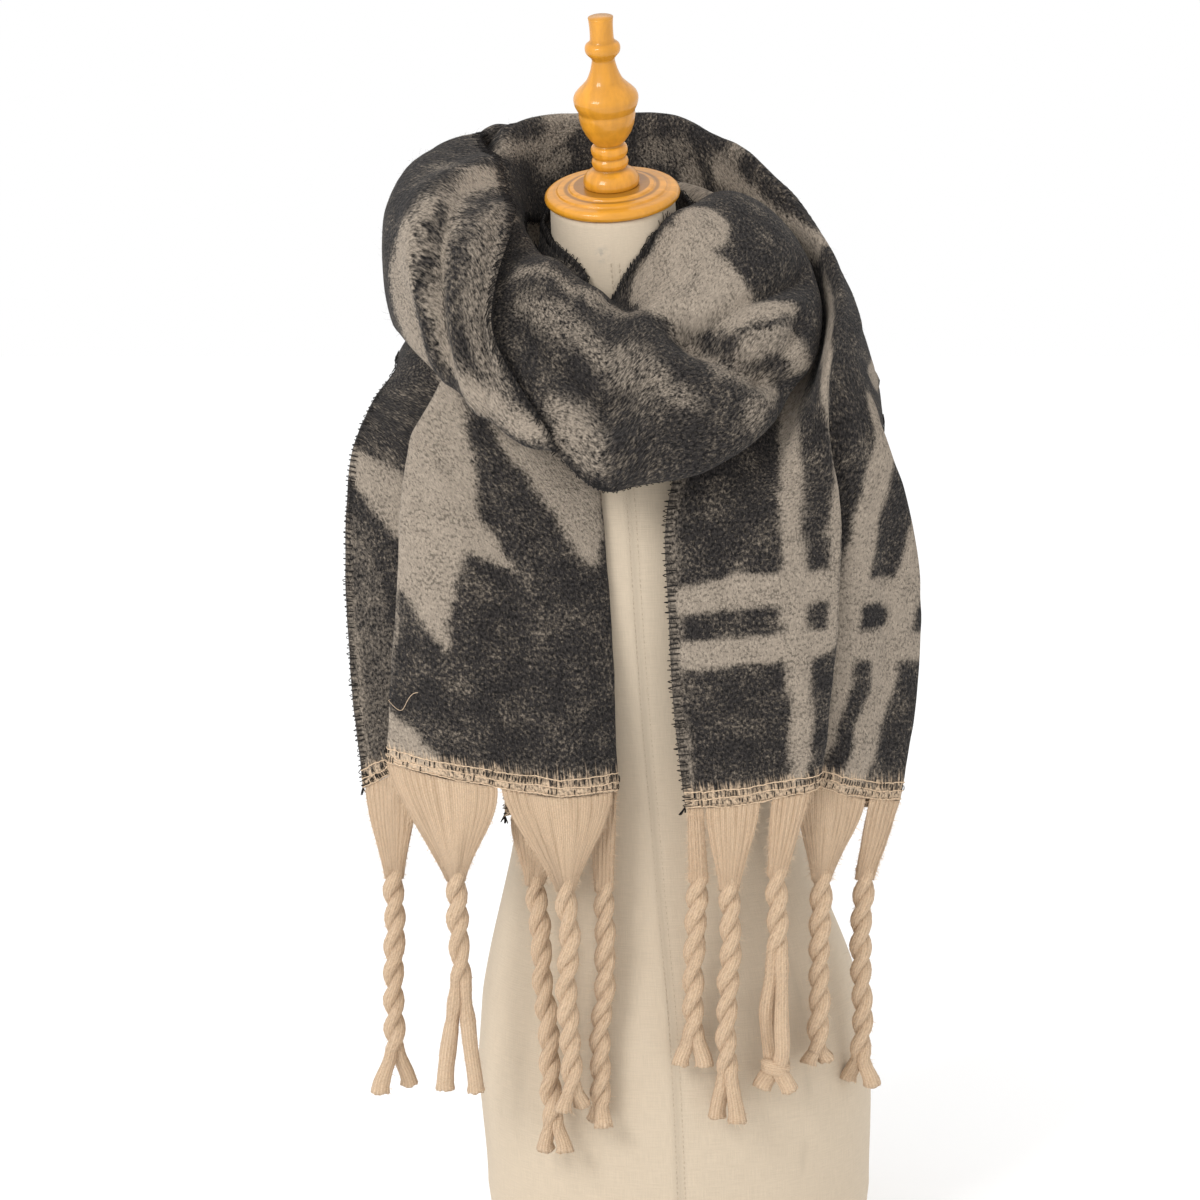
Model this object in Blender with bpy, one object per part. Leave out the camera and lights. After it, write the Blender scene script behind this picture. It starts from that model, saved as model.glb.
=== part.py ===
"""A blanket scarf wound once round the neck of a limbless dress form.

Metres, +Z up, the front faces -Y. The origin is the middle of the form's flat underside.
The scarf is one cloth. Ten guide lines run along it from the left hem, over the left shoulder,
behind the neck, across the front as a cowl, behind the neck again and down to the right hem.
A row of a table below places the ten guides at one section across the cloth.
"""

from math import cos, pi, radians, sin, tan

import bpy
import numpy as np

for old in list(bpy.data.objects):
    bpy.data.objects.remove(old)

# ------------------------------------------------------------------ sizes
WALL = 0.003  # thickness of the brushed cloth
GAP = 0.0003  # between neighbouring pieces
REST_GAP = 0.0011  # between the cloth and the form it lies on

LEAN = radians(3.9)  # the form leans to the left
NECK_TILT = radians(17.0)  # the top of the neck faces forward
NECK_AXIS = (-0.050, 0.005)  # X and Y of the axis that the scarf winds round

FACES_A_SPAN = 3  # faces between two neighbouring guides
STEP_ALONG = 0.030  # length of a face along the cloth
FORM_SIDES = 32
CAP_SIDES, FINIAL_SIDES = 32, 20

TASSEL_TOP = 0.0026  # thickness of a tassel's fan under the hem
STRAND_WIDE, STRAND_THICK = 0.0072, 0.0070  # one of the two strands of a rope
STRAND_GAP = 0.0005  # from a strand to the middle of its rope
FAN_GAPS = {"left": 0.0003, "right": 0.0006}  # straight down from a hem to its fans
STRAND_STEP = 0.0075  # length of rope in which the strands turn by STRAND_TURN
STRAND_TURN = radians(60)

# ------------------------------------------------------------------ tables
# Dress form, a row for each level: centre X and Y, half width, depth to the front and to the back.
FORM_COLUMNS = ("z", "cx", "cy", "half_width", "front", "back")
FORM_ROWS = (
    (0.000, 0.004, 0.000, 0.150, 0.100, 0.098),
    (0.012, 0.004, 0.000, 0.1555, 0.105, 0.104),
    (0.070, 0.003, 0.000, 0.162, 0.112, 0.114),
    (0.165, -0.001, 0.000, 0.1655, 0.114, 0.122),
    (0.245, -0.006, 0.000, 0.155, 0.106, 0.114),
    (0.330, -0.014, 0.000, 0.129, 0.092, 0.092),
    (0.400, -0.020, 0.000, 0.113, 0.084, 0.080),
    (0.480, -0.027, 0.000, 0.121, 0.092, 0.084),
    (0.560, -0.033, 0.000, 0.139, 0.105, 0.090),
    (0.620, -0.037, 0.001, 0.150, 0.106, 0.093),
    (0.675, -0.041, 0.003, 0.172, 0.098, 0.093),
    (0.712, -0.045, 0.006, 0.200, 0.086, 0.086),
    (0.733, -0.047, 0.008, 0.206, 0.076, 0.077),
    (0.750, -0.0475, 0.009, 0.187, 0.068, 0.070),
    (0.768, -0.048, 0.009, 0.150, 0.062, 0.065),
    (0.788, -0.0485, 0.007, 0.108, 0.057, 0.060),
    (0.806, -0.0495, 0.004, 0.076, 0.054, 0.057),
    (0.830, -0.0505, 0.000, 0.057, 0.051, 0.053),
    (0.860, -0.0525, -0.005, 0.0505, 0.0500, 0.0500),
    (0.8915, -0.0540, -0.009, 0.0495, 0.0495, 0.0495),
)

# Wooden cap and finial, a row for each ring: height above the piece's flat base, radius.
TURNED_COLUMNS = ("height", "radius")
CAP_ROWS = (
    (0.0000, 0.0505), (0.0016, 0.0530), (0.0040, 0.0538), (0.0064, 0.0530), (0.0082, 0.0505),
    (0.0090, 0.0440), (0.0102, 0.0432), (0.0108, 0.0345), (0.0120, 0.0335), (0.0124, 0.0270),
)
FINIAL_ROWS = (
    (0.0000, 0.0216), (0.0030, 0.0222), (0.0065, 0.0215), (0.0100, 0.0190), (0.0126, 0.0150),
    (0.0142, 0.0128), (0.0160, 0.0138), (0.0188, 0.0146), (0.0216, 0.0138), (0.0232, 0.0127),
    (0.0252, 0.0138), (0.0286, 0.0146), (0.0320, 0.0136), (0.0338, 0.0114), (0.0366, 0.0136),
    (0.0430, 0.0180), (0.0500, 0.0209), (0.0570, 0.0222), (0.0606, 0.0222), (0.0622, 0.0228),
    (0.0664, 0.0248), (0.0716, 0.0255), (0.0752, 0.0242), (0.0792, 0.0206), (0.0856, 0.0144),
    (0.0940, 0.0107), (0.1020, 0.0090), (0.1046, 0.0102), (0.1080, 0.0132), (0.1112, 0.0139),
    (0.1144, 0.0131), (0.1168, 0.0102), (0.1190, 0.0093), (0.1290, 0.0092), (0.1358, 0.0098),
)

# Tails, a row for each level: X of the two edges and of the three lengthwise folds, Y of the front
# layer, and how much the panel bows back from its middle.
TAIL_COLUMNS = ("z", "edge_a", "fold_1", "fold_2", "fold_3", "edge_b", "y_front", "bow")
LEFT_TAIL_ROWS = (
    (0.430, -0.140, -0.051, -0.232, -0.204, -0.254, -0.128, 1.2),
    (0.510, -0.138, -0.053, -0.227, -0.200, -0.262, -0.130, 1.2),
    (0.590, -0.134, -0.058, -0.221, -0.192, -0.266, -0.129, 1.3),
    (0.655, -0.124, -0.063, -0.217, -0.186, -0.265, -0.122, 1.7),
    (0.705, -0.105, -0.068, -0.210, -0.184, -0.258, -0.110, 2.2),
)
RIGHT_TAIL_ROWS = (
    (0.655, -0.013, 0.123, 0.106, 0.180, 0.130, -0.120, 1.6),
    (0.600, -0.012, 0.122, 0.100, 0.190, 0.126, -0.128, 1.7),
    (0.540, -0.009, 0.119, 0.097, 0.192, 0.120, -0.130, 1.7),
    (0.480, -0.004, 0.113, 0.092, 0.187, 0.114, -0.129, 1.7),
    (0.425, 0.003, 0.107, 0.086, 0.178, 0.108, -0.128, 1.8),
)
# For the ten guides of a tail: between which two columns each lies and how far along, how far it is
# behind the front layer, and how much higher than its row it ends at the hem.
LEFT_PLACES = (0, 1, 1.25, 1.5, 1.75, 2, 3, 3.33, 3.67, 4)
RIGHT_PLACES = (0, 0.33, 0.67, 1, 2, 2.33, 2.67, 3, 3.5, 4)
LEFT_LAYERS = (0.028, 0.014, 0.001, 0.000, 0.001, 0.008, 0.022, 0.026, 0.028, 0.030)
RIGHT_LAYERS = (0.000, 0.000, 0.001, 0.008, 0.024, 0.018, 0.022, 0.032, 0.048, 0.054)
LEFT_HEM_RISE = (-0.020, 0.004, 0.004, 0.011, 0.019, 0.027, 0.024, 0.016, 0.006, -0.004)
RIGHT_HEM_RISE = (0.000, 0.002, 0.006, 0.014, 0.018, 0.006, -0.006, -0.016, -0.022, -0.026)
LEFT_BOW_X, RIGHT_BOW_X = -0.110, 0.020

# Sections round the neck. turn is the angle in degrees (0 front, 90 right, 180 back); edge_lead is
# how far the first guide is ahead of the last; then the ten distances from the axis and ten levels.
NECK_COLUMNS = ("turn", "edge_lead", "distances", "levels")
NECK_ROWS = (
    (-80, 58, (0.063, 0.076, 0.092, 0.110, 0.128, 0.145, 0.155, 0.164, 0.173, 0.180),
     (0.832, 0.821, 0.812, 0.806, 0.801, 0.795, 0.788, 0.780, 0.770, 0.758)),
    (-105, 20, (0.058, 0.064, 0.074, 0.089, 0.106, 0.122, 0.137, 0.151, 0.164, 0.175),
     (0.870, 0.846, 0.832, 0.822, 0.814, 0.806, 0.797, 0.787, 0.775, 0.758)),
    (-135, 0, (0.060, 0.063, 0.069, 0.078, 0.088, 0.098, 0.108, 0.118, 0.128, 0.136),
     (0.892, 0.862, 0.840, 0.826, 0.820, 0.818, 0.812, 0.796, 0.774, 0.748)),
    (-180, 0, (0.063, 0.065, 0.069, 0.074, 0.079, 0.085, 0.091, 0.096, 0.099, 0.100),
     (0.908, 0.868, 0.835, 0.822, 0.845, 0.882, 0.893, 0.872, 0.838, 0.805)),
    (-225, 0, (0.061, 0.064, 0.070, 0.077, 0.084, 0.091, 0.097, 0.101, 0.103, 0.103),
     (0.900, 0.872, 0.856, 0.854, 0.870, 0.890, 0.893, 0.876, 0.848, 0.818)),
    (-270, 0, (0.058, 0.068, 0.084, 0.104, 0.124, 0.141, 0.151, 0.152, 0.146, 0.131),
     (0.880, 0.890, 0.896, 0.892, 0.880, 0.861, 0.840, 0.825, 0.814, 0.811)),
    (-300, 0, (0.056, 0.068, 0.086, 0.108, 0.131, 0.152, 0.168, 0.174, 0.171, 0.153),
     (0.878, 0.888, 0.886, 0.871, 0.850, 0.824, 0.797, 0.778, 0.763, 0.756)),
    (-330, 0, (0.056, 0.064, 0.078, 0.097, 0.120, 0.145, 0.165, 0.172, 0.164, 0.147),
     (0.870, 0.865, 0.851, 0.832, 0.808, 0.780, 0.745, 0.720, 0.704, 0.698)),
    (-352, 0, (0.058, 0.063, 0.072, 0.092, 0.120, 0.145, 0.164, 0.170, 0.162, 0.148),
     (0.842, 0.822, 0.808, 0.808, 0.794, 0.766, 0.730, 0.704, 0.690, 0.686)),
    (-368, 0, (0.070, 0.073, 0.081, 0.101, 0.127, 0.149, 0.164, 0.170, 0.171, 0.169),
     (0.814, 0.818, 0.823, 0.816, 0.795, 0.762, 0.724, 0.708, 0.698, 0.690)),
    (-382, 0, (0.073, 0.076, 0.084, 0.107, 0.133, 0.153, 0.170, 0.175, 0.176, 0.172),
     (0.823, 0.829, 0.834, 0.828, 0.804, 0.768, 0.716, 0.722, 0.734, 0.746)),
    (-394, 0, (0.074, 0.077, 0.087, 0.113, 0.139, 0.157, 0.175, 0.179, 0.176, 0.170),
     (0.834, 0.843, 0.848, 0.842, 0.814, 0.776, 0.736, 0.756, 0.780, 0.802)),
    (-410, 0, (0.074, 0.078, 0.092, 0.120, 0.144, 0.161, 0.180, 0.186, 0.164, 0.110),
     (0.846, 0.851, 0.852, 0.842, 0.820, 0.795, 0.768, 0.800, 0.852, 0.868)),
    (-430, 0, (0.074, 0.079, 0.097, 0.123, 0.144, 0.160, 0.178, 0.188, 0.168, 0.092),
     (0.856, 0.868, 0.872, 0.859, 0.834, 0.807, 0.788, 0.836, 0.890, 0.898)),
    (-450, 0, (0.075, 0.082, 0.102, 0.127, 0.145, 0.159, 0.172, 0.186, 0.170, 0.096),
     (0.864, 0.882, 0.890, 0.870, 0.840, 0.810, 0.790, 0.850, 0.906, 0.918)),
    (-470, 0, (0.080, 0.087, 0.106, 0.126, 0.140, 0.153, 0.167, 0.185, 0.166, 0.118),
     (0.870, 0.898, 0.916, 0.893, 0.855, 0.817, 0.786, 0.856, 0.922, 0.938)),
    (-490, 0, (0.094, 0.099, 0.112, 0.125, 0.138, 0.149, 0.163, 0.178, 0.162, 0.131),
     (0.868, 0.912, 0.943, 0.924, 0.878, 0.824, 0.770, 0.846, 0.924, 0.942)),
    (-515, 0, (0.104, 0.106, 0.113, 0.127, 0.141, 0.153, 0.166, 0.179, 0.169, 0.143),
     (0.862, 0.910, 0.951, 0.938, 0.886, 0.822, 0.748, 0.806, 0.898, 0.934)),
    (-545, 0, (0.109, 0.109, 0.113, 0.127, 0.142, 0.154, 0.166, 0.178, 0.184, 0.175),
     (0.858, 0.905, 0.951, 0.942, 0.890, 0.825, 0.748, 0.740, 0.782, 0.826)),
    (-575, 0, (0.109, 0.110, 0.116, 0.129, 0.143, 0.155, 0.165, 0.171, 0.176, 0.180),
     (0.835, 0.880, 0.938, 0.936, 0.888, 0.832, 0.782, 0.754, 0.728, 0.704)),
    (-600, 0, (0.113, 0.125, 0.131, 0.138, 0.151, 0.162, 0.172, 0.180, 0.187, 0.193),
     (0.790, 0.800, 0.862, 0.910, 0.890, 0.848, 0.806, 0.772, 0.740, 0.708)),
    (-616, -6, (0.108, 0.129, 0.150, 0.157, 0.164, 0.173, 0.183, 0.192, 0.199, 0.205),
     (0.797, 0.788, 0.800, 0.862, 0.864, 0.838, 0.810, 0.782, 0.752, 0.718)),
    (-629, -16, (0.103, 0.130, 0.160, 0.172, 0.178, 0.184, 0.191, 0.199, 0.206, 0.211),
     (0.796, 0.783, 0.772, 0.818, 0.830, 0.817, 0.797, 0.774, 0.748, 0.715)),
    (-641, -34, (0.100, 0.124, 0.158, 0.190, 0.191, 0.195, 0.202, 0.209, 0.213, 0.213),
     (0.752, 0.737, 0.712, 0.757, 0.777, 0.774, 0.762, 0.745, 0.726, 0.702)),
)

# Twisted tassels, a row for each: the hem it hangs from, the guides it spans there, the point where
# its fan ends, the end of its rope, the loose share of the rope, and how far its ends are apart.
TASSEL_COLUMNS = ("name", "hem", "from_guide", "to_guide", "apex", "end", "loose", "spread")
TASSEL_ROWS = (
    ("tassel_left_1", "left", 8.90, 6.40, (-0.229, -0.092, 0.357), (-0.231, -0.094, 0.179), 0.18, 0.011),
    ("tassel_left_2", "left", 5.00, 3.08, (-0.178, -0.124, 0.365), (-0.176, -0.124, 0.189), 0.50, 0.009),
    ("tassel_left_3", "left", 3.00, 1.22, (-0.091, -0.134, 0.360), (-0.086, -0.136, 0.178), 0.08, 0.006),
    ("tassel_left_4", "left", 0.56, 0.94, (-0.061, -0.112, 0.353), (-0.064, -0.121, 0.160), 0.08, 0.006),
    ("tassel_left_5", "left", 0.04, 0.50, (-0.116, -0.106, 0.356), (-0.100, -0.121, 0.136), 0.10, 0.006),
    ("tassel_right_1", "right", 0.05, 0.40, (0.014, -0.124, 0.364), (0.010, -0.128, 0.212), 0.15, 0.006),
    ("tassel_right_2", "right", 0.46, 1.74, (0.038, -0.128, 0.358), (0.038, -0.134, 0.168), 0.20, 0.006),
    ("tassel_right_3", "right", 1.98, 2.62, (0.076, -0.122, 0.368), (0.077, -0.124, 0.190), 0.62, 0.009),
    ("tassel_right_4", "right", 4.30, 6.02, (0.113, -0.098, 0.357), (0.112, -0.100, 0.204), 0.06, 0.006),
    ("tassel_right_5", "right", 6.12, 6.90, (0.150, -0.072, 0.350), (0.150, -0.070, 0.175), 0.12, 0.007),
)

# Where the cloth is parted into stretches, as an index into all the rows.
STRETCHES = (
    ("tail_left", 0, 5),
    ("neck_inner", 5, 10),
    ("cowl_front", 10, 19),
    ("neck_outer", 19, 26),
    ("tail_right", 26, 33),
)

# Folds pressed into the cloth. Distances along the cloth from the left hem and across it from its
# inner edge, both for the start and the end of the fold; half width; depth (a ridge is negative).
FOLD_COLUMNS = ("along_1", "across_1", "along_2", "across_2", "half_width", "depth")
FOLD_ROWS = (
    (0.940, 0.080, 0.850, 0.200, 0.015, 0.014),
    (0.925, 0.096, 0.790, 0.132, 0.014, 0.012),
    (0.900, 0.122, 0.850, 0.148, 0.014, -0.005),
    (1.095, 0.080, 0.985, 0.125, 0.015, 0.010),
    (0.990, 0.122, 0.930, 0.200, 0.015, 0.007),
    (1.060, 0.118, 0.960, 0.175, 0.018, -0.006),
    (1.230, 0.375, 1.137, 0.200, 0.013, 0.010),
    (1.195, 0.352, 1.106, 0.178, 0.012, -0.006),
    (1.155, 0.315, 1.088, 0.168, 0.011, 0.007),
    (1.400, 0.180, 1.640, 0.285, 0.020, 0.012),
    (1.430, 0.270, 1.600, 0.205, 0.016, 0.008),
    (1.460, 0.330, 1.720, 0.215, 0.020, 0.010),
    (0.000, 0.235, 0.230, 0.210, 0.022, -0.005),
    (0.000, 0.165, 0.250, 0.150, 0.016, 0.005),
    (1.900, 0.045, 2.146, 0.070, 0.018, 0.004),
    (1.880, 0.085, 2.146, 0.108, 0.016, -0.004),
)

# ------------------------------------------------------------------ curves
def cubic_through(knots, values, at):
    """The natural cubic spline through values at knots, read at the positions in at."""
    knots, values, at = np.asarray(knots, float), np.asarray(values, float), np.asarray(at, float)
    flat = values.reshape(len(knots), -1)
    step = np.diff(knots)
    slope = np.diff(flat, axis=0) / step[:, None]
    matrix = np.eye(len(knots))
    right = np.zeros_like(flat)
    for i in range(1, len(knots) - 1):
        matrix[i, i - 1:i + 2] = step[i - 1], 2 * (step[i - 1] + step[i]), step[i]
        right[i] = 6 * (slope[i] - slope[i - 1])
    bend = np.linalg.solve(matrix, right)
    i = np.clip(np.searchsorted(knots, at, side="right") - 1, 0, len(step) - 1)
    h = step[i][:, None]
    a = (knots[i + 1] - at)[:, None]
    b = (at - knots[i])[:, None]
    result = (
        bend[i] * a ** 3 / (6 * h) + bend[i + 1] * b ** 3 / (6 * h)
        + (flat[i] / h - bend[i] * h / 6) * a + (flat[i + 1] / h - bend[i + 1] * h / 6) * b
    )
    return result.reshape((len(at),) + values.shape[1:])


def section_curve(guides, per_span):
    """A smooth curve through the guides of one section, with per_span faces between two guides."""
    reach = np.linalg.norm(np.diff(guides, axis=0), axis=1) ** 0.5
    knots = np.concatenate([[0.0], np.cumsum(reach)])
    spots = np.arange(per_span * (len(guides) - 1) + 1) / per_span
    return cubic_through(knots, guides, np.interp(spots, np.arange(len(guides)), knots))


# ------------------------------------------------------------------ dress form
FORM = np.array(FORM_ROWS)


def form_shift(x, y, z):
    """How much the leaning figure raises a point of a level ring."""
    lean = tan(LEAN) * np.clip((z - 0.10) / 0.30, 0, 1)
    tilt = tan(NECK_TILT) * np.clip((z - 0.79) / 0.09, 0, 1)
    return lean * x + tilt * y


def form_distance(points):
    """Roughly how far points are outside the form, negative inside."""
    x, y, z = points[..., 0], points[..., 1], points[..., 2]
    level = z
    for _ in range(3):
        cx, cy = np.interp(level, FORM[:, 0], FORM[:, 1]), np.interp(level, FORM[:, 0], FORM[:, 2])
        level = z - form_shift(x - cx, y - cy, level)
    cx, cy, wide, front, back = (np.interp(level, FORM[:, 0], FORM[:, k]) for k in range(1, 6))
    deep = np.where(y < cy, front, back)
    share = np.sqrt(((x - cx) / wide) ** 2 + ((y - cy) / deep) ** 2)
    return (share - 1) * np.minimum(wide, deep)


def lift_needed(points, clear):
    """The move that takes each point out to the given clearance from the form."""
    tiny = 0.0004
    here = form_distance(points)
    grade = np.stack(
        [(form_distance(points + np.eye(3)[k] * tiny) - here) / tiny for k in range(3)], axis=-1
    )
    size = np.maximum(np.linalg.norm(grade, axis=-1), 0.2)
    return grade / size[..., None] * np.clip(clear - here / size, 0, 0.01)[..., None]


def rest_on_form(grid, clear):
    """Lifts a grid until its points, the middles of its edges and of its faces clear the form."""
    grid = grid.copy()
    corners = (slice(None, -1), slice(1, None))
    for _ in range(25):
        moves = [(lift_needed(grid, clear), slice(None), slice(None))]
        middle = lift_needed((grid[1:] + grid[:-1]) / 2, clear)
        moves += [(middle, rows, slice(None)) for rows in corners]
        middle = lift_needed((grid[:, 1:] + grid[:, :-1]) / 2, clear)
        moves += [(middle, slice(None), columns) for columns in corners]
        middle = lift_needed((grid[1:, 1:] + grid[:-1, :-1] + grid[1:, :-1] + grid[:-1, 1:]) / 4, clear)
        moves += [(middle, rows, columns) for rows in corners for columns in corners]
        most = np.zeros_like(grid)
        for move, rows, columns in moves:
            part = most[rows, columns]
            bigger = np.linalg.norm(move, axis=-1) > np.linalg.norm(part, axis=-1)
            part[bigger] = move[bigger]
        grid += most * 0.7
    return grid


# ------------------------------------------------------------------ cloth
def tail_guides(rows, places, layers, hem_rise, bow_x, hem_row):
    """The ten guides at each level of a tail; the hem's rise fades out upwards."""
    guides = []
    levels = [row[0] for row in rows]
    hem, top = levels[hem_row], max(levels)
    for row in rows:
        x = np.interp(places, range(5), row[1:6])
        y = row[6] + row[7] * (x - bow_x) ** 2 + np.array(layers)
        z = row[0] + np.array(hem_rise) * ((top - row[0]) / (top - hem)) ** 2
        guides.append(np.stack([x, y, z], axis=1))
    return guides


def neck_guides(rows):
    """The ten guides of each section round the neck's axis."""
    guides = []
    for turn, lead, distances, levels in rows:
        angle = np.radians(turn + lead * np.linspace(1, 0, 10))
        r = np.array(distances)
        x = NECK_AXIS[0] + r * np.sin(angle)
        y = NECK_AXIS[1] - r * np.cos(angle)
        guides.append(np.stack([x, y, levels], axis=1))
    return guides


def all_guides():
    """Guide points of every section and their distance along the cloth."""
    left = tail_guides(LEFT_TAIL_ROWS, LEFT_PLACES, LEFT_LAYERS, LEFT_HEM_RISE, LEFT_BOW_X, 0)
    right = tail_guides(RIGHT_TAIL_ROWS, RIGHT_PLACES, RIGHT_LAYERS, RIGHT_HEM_RISE, RIGHT_BOW_X, -1)
    guides = np.array(left + neck_guides(NECK_ROWS) + right)
    step = np.linalg.norm(np.diff(guides, axis=0), axis=2).mean(axis=1)
    return guides, np.concatenate([[0.0], np.cumsum(step)])


def unit(vectors):
    return vectors / np.linalg.norm(vectors, axis=-1, keepdims=True)


def normals_of(grid):
    """Unit normals of a grid of points, pointing away from the form."""
    return unit(np.cross(np.gradient(grid, axis=0), np.gradient(grid, axis=1)))


def across_of(grid):
    """Distance of each grid point across the cloth from its inner edge."""
    step = np.linalg.norm(np.diff(grid, axis=1), axis=2)
    return np.concatenate([np.zeros((len(grid), 1)), np.cumsum(step, axis=1)], axis=1)


def fold_height(along, across):
    """Height of the pressed folds at places in the flat cloth."""
    height = np.zeros(np.broadcast(along, across).shape)
    for a1, c1, a2, c2, half_width, depth in FOLD_ROWS:
        run = np.array([a2 - a1, c2 - c1])
        length = np.hypot(*run)
        part = ((along - a1) * run[0] + (across - c1) * run[1]) / length ** 2
        side = ((along - a1) * run[1] - (across - c1) * run[0]) / length
        fade = np.clip(np.minimum(part, 1 - part) * 4 + 0.5, 0, 1)
        height -= depth * fade * fade * (3 - 2 * fade) * np.exp(-(side / half_width) ** 2)
    return height


def cloth_surface(positions, per_span):
    """Middle surface of the cloth at the given distances along it, before it is laid on the form."""
    guides, knots = all_guides()
    at_guides = cubic_through(knots, guides, positions)
    grid = np.array([section_curve(section, per_span) for section in at_guides])
    height = fold_height(np.asarray(positions)[:, None], across_of(grid))
    return grid + normals_of(grid) * height[..., None]


def cloth_grid(positions, per_span):
    """The cloth laid on the form, the direction along it and its outward normal at each point."""
    near = 0.004
    grid = cloth_surface(positions, per_span)
    along = cloth_surface(positions + near, per_span) - cloth_surface(positions - near, per_span)
    grid = rest_on_form(grid, WALL / 2 + REST_GAP)
    across = unit(np.gradient(grid, axis=1))
    along = unit(along - across * (along * across).sum(axis=-1, keepdims=True))
    return grid, along, np.cross(along, across)


def wall_mesh(grid, normal, thickness):
    """A closed wall of the given thickness about a grid of points: outer face, inner face and rim."""
    outer = grid + normal * thickness / 2
    inner = grid - normal * thickness / 2
    rows, columns = grid.shape[:2]
    points = np.concatenate([outer.reshape(-1, 3), inner.reshape(-1, 3)])
    back = rows * columns
    faces = []
    for i in range(rows - 1):
        for j in range(columns - 1):
            a, b = i * columns + j, (i + 1) * columns + j
            faces.append((a, b, b + 1, a + 1))
            faces.append((back + a, back + a + 1, back + b + 1, back + b))
    for i in range(rows - 1):
        first, last = i * columns, i * columns + columns - 1
        faces.append((first, back + first, back + first + columns, first + columns))
        faces.append((last, last + columns, back + last + columns, back + last))
    for j in range(columns - 1):
        low, high = j, (rows - 1) * columns + j
        faces.append((low, low + 1, back + low + 1, back + low))
        faces.append((high, back + high, back + high + 1, high + 1))
    return points, faces


# ------------------------------------------------------------------ objects
def material(name, colour, roughness, metallic=0.0):
    found = bpy.data.materials.get(name)
    if found:
        return found
    made = bpy.data.materials.new(name)
    made.use_nodes = True
    shader = made.node_tree.nodes["Principled BSDF"]
    shader.inputs["Base Color"].default_value = (*colour, 1.0)
    shader.inputs["Roughness"].default_value = roughness
    shader.inputs["Metallic"].default_value = metallic
    return made


def add_object(name, points, faces, finish, smooth_angle=50.0):
    mesh = bpy.data.meshes.new(name)
    mesh.from_pydata([tuple(p) for p in points], [], faces)
    mesh.validate()
    mesh.materials.append(finish)
    mesh.shade_smooth()
    mesh.set_sharp_from_angle(angle=radians(smooth_angle))
    made = bpy.data.objects.new(name, mesh)
    bpy.context.scene.collection.objects.link(made)
    return made


CLOTH = material("brushed_cloth", (0.10, 0.10, 0.105), 0.95)
LINEN = material("linen", (0.72, 0.66, 0.56), 0.9)
WOOD = material("varnished_wood", (0.75, 0.36, 0.09), 0.35)
YARN = material("yarn", (0.80, 0.64, 0.47), 0.95)


def build_form():
    """Loft of closed rings up the dress form, each leaning with the figure."""
    angle = np.linspace(0, 2 * pi, FORM_SIDES, endpoint=False)
    points, faces = [], []
    for z, cx, cy, half_width, front, back in FORM_ROWS:
        x = half_width * np.sin(angle)
        y = -np.where(np.cos(angle) > 0, front, back) * np.cos(angle)
        points += list(np.stack([cx + x, cy + y, z + form_shift(x, y, z)], axis=1))
    for i in range(len(FORM_ROWS) - 1):
        for j in range(FORM_SIDES):
            k = (j + 1) % FORM_SIDES
            low, high = i * FORM_SIDES, (i + 1) * FORM_SIDES
            faces.append((low + j, low + k, high + k, high + j))
    faces.append(tuple(range(FORM_SIDES - 1, -1, -1)))
    faces.append(tuple(range(len(points) - FORM_SIDES, len(points))))
    return add_object("form_body", np.array(points), faces, LINEN)


def row_positions():
    """Distances along the cloth of all rows of faces, and which of them part the stretches."""
    knots = all_guides()[1]
    positions, parted = [0.0], [0]
    for _, first, last in STRETCHES:
        count = max(3, round((knots[last] - knots[first]) / STEP_ALONG))
        positions += list(np.linspace(knots[first], knots[last], count + 1)[1:])
        parted.append(len(positions) - 1)
    return np.array(positions), parted


def build_cloth():
    """The scarf's stretches, each a wall of the one cloth, a gap apart where they meet."""
    positions, parted = row_positions()
    grid, along, normal = cloth_grid(positions, FACES_A_SPAN)
    for k, (name, _, _) in enumerate(STRETCHES):
        rows = slice(parted[k], parted[k + 1] + 1)
        piece, run = grid[rows].copy(), along[rows]
        if k > 0:
            piece[0] += run[0] * GAP / 2
        if k < len(STRETCHES) - 1:
            piece[-1] -= run[-1] * GAP / 2
        add_object(name, *wall_mesh(piece, normal[rows], WALL), CLOTH)


def build_turned(name, rows, base, sides):
    """A turned piece on the neck's tilted axis, its flat base at the given height above the neck."""
    up = np.array([-tan(LEAN), -tan(NECK_TILT), 1.0])
    up /= np.linalg.norm(up)
    side = np.cross((0.0, 1.0, 0.0), up)
    side /= np.linalg.norm(side)
    front = np.cross(up, side)
    top = FORM[-1]
    centre = np.array([top[1], top[2], top[0]]) + up * base
    points, faces = [], []
    for height, radius in rows:
        for k in range(sides):
            turn = 2 * pi * k / sides
            points.append(centre + up * height + side * radius * cos(turn) + front * radius * sin(turn))
    for i in range(len(rows) - 1):
        for j in range(sides):
            k = (j + 1) % sides
            faces.append((i * sides + j, i * sides + k, (i + 1) * sides + k, (i + 1) * sides + j))
    faces.append(tuple(range(sides - 1, -1, -1)))
    faces.append(tuple(range(len(points) - sides, len(points))))
    return add_object(name, points, faces, WOOD, 35.0)


def hem_line(hem):
    """The corner points of a hem's rim and the outward normals there."""
    grid, _, normal = cloth_grid(row_positions()[0], FACES_A_SPAN)
    row = 0 if hem == "left" else -1
    return grid[row], normal[row]


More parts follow.
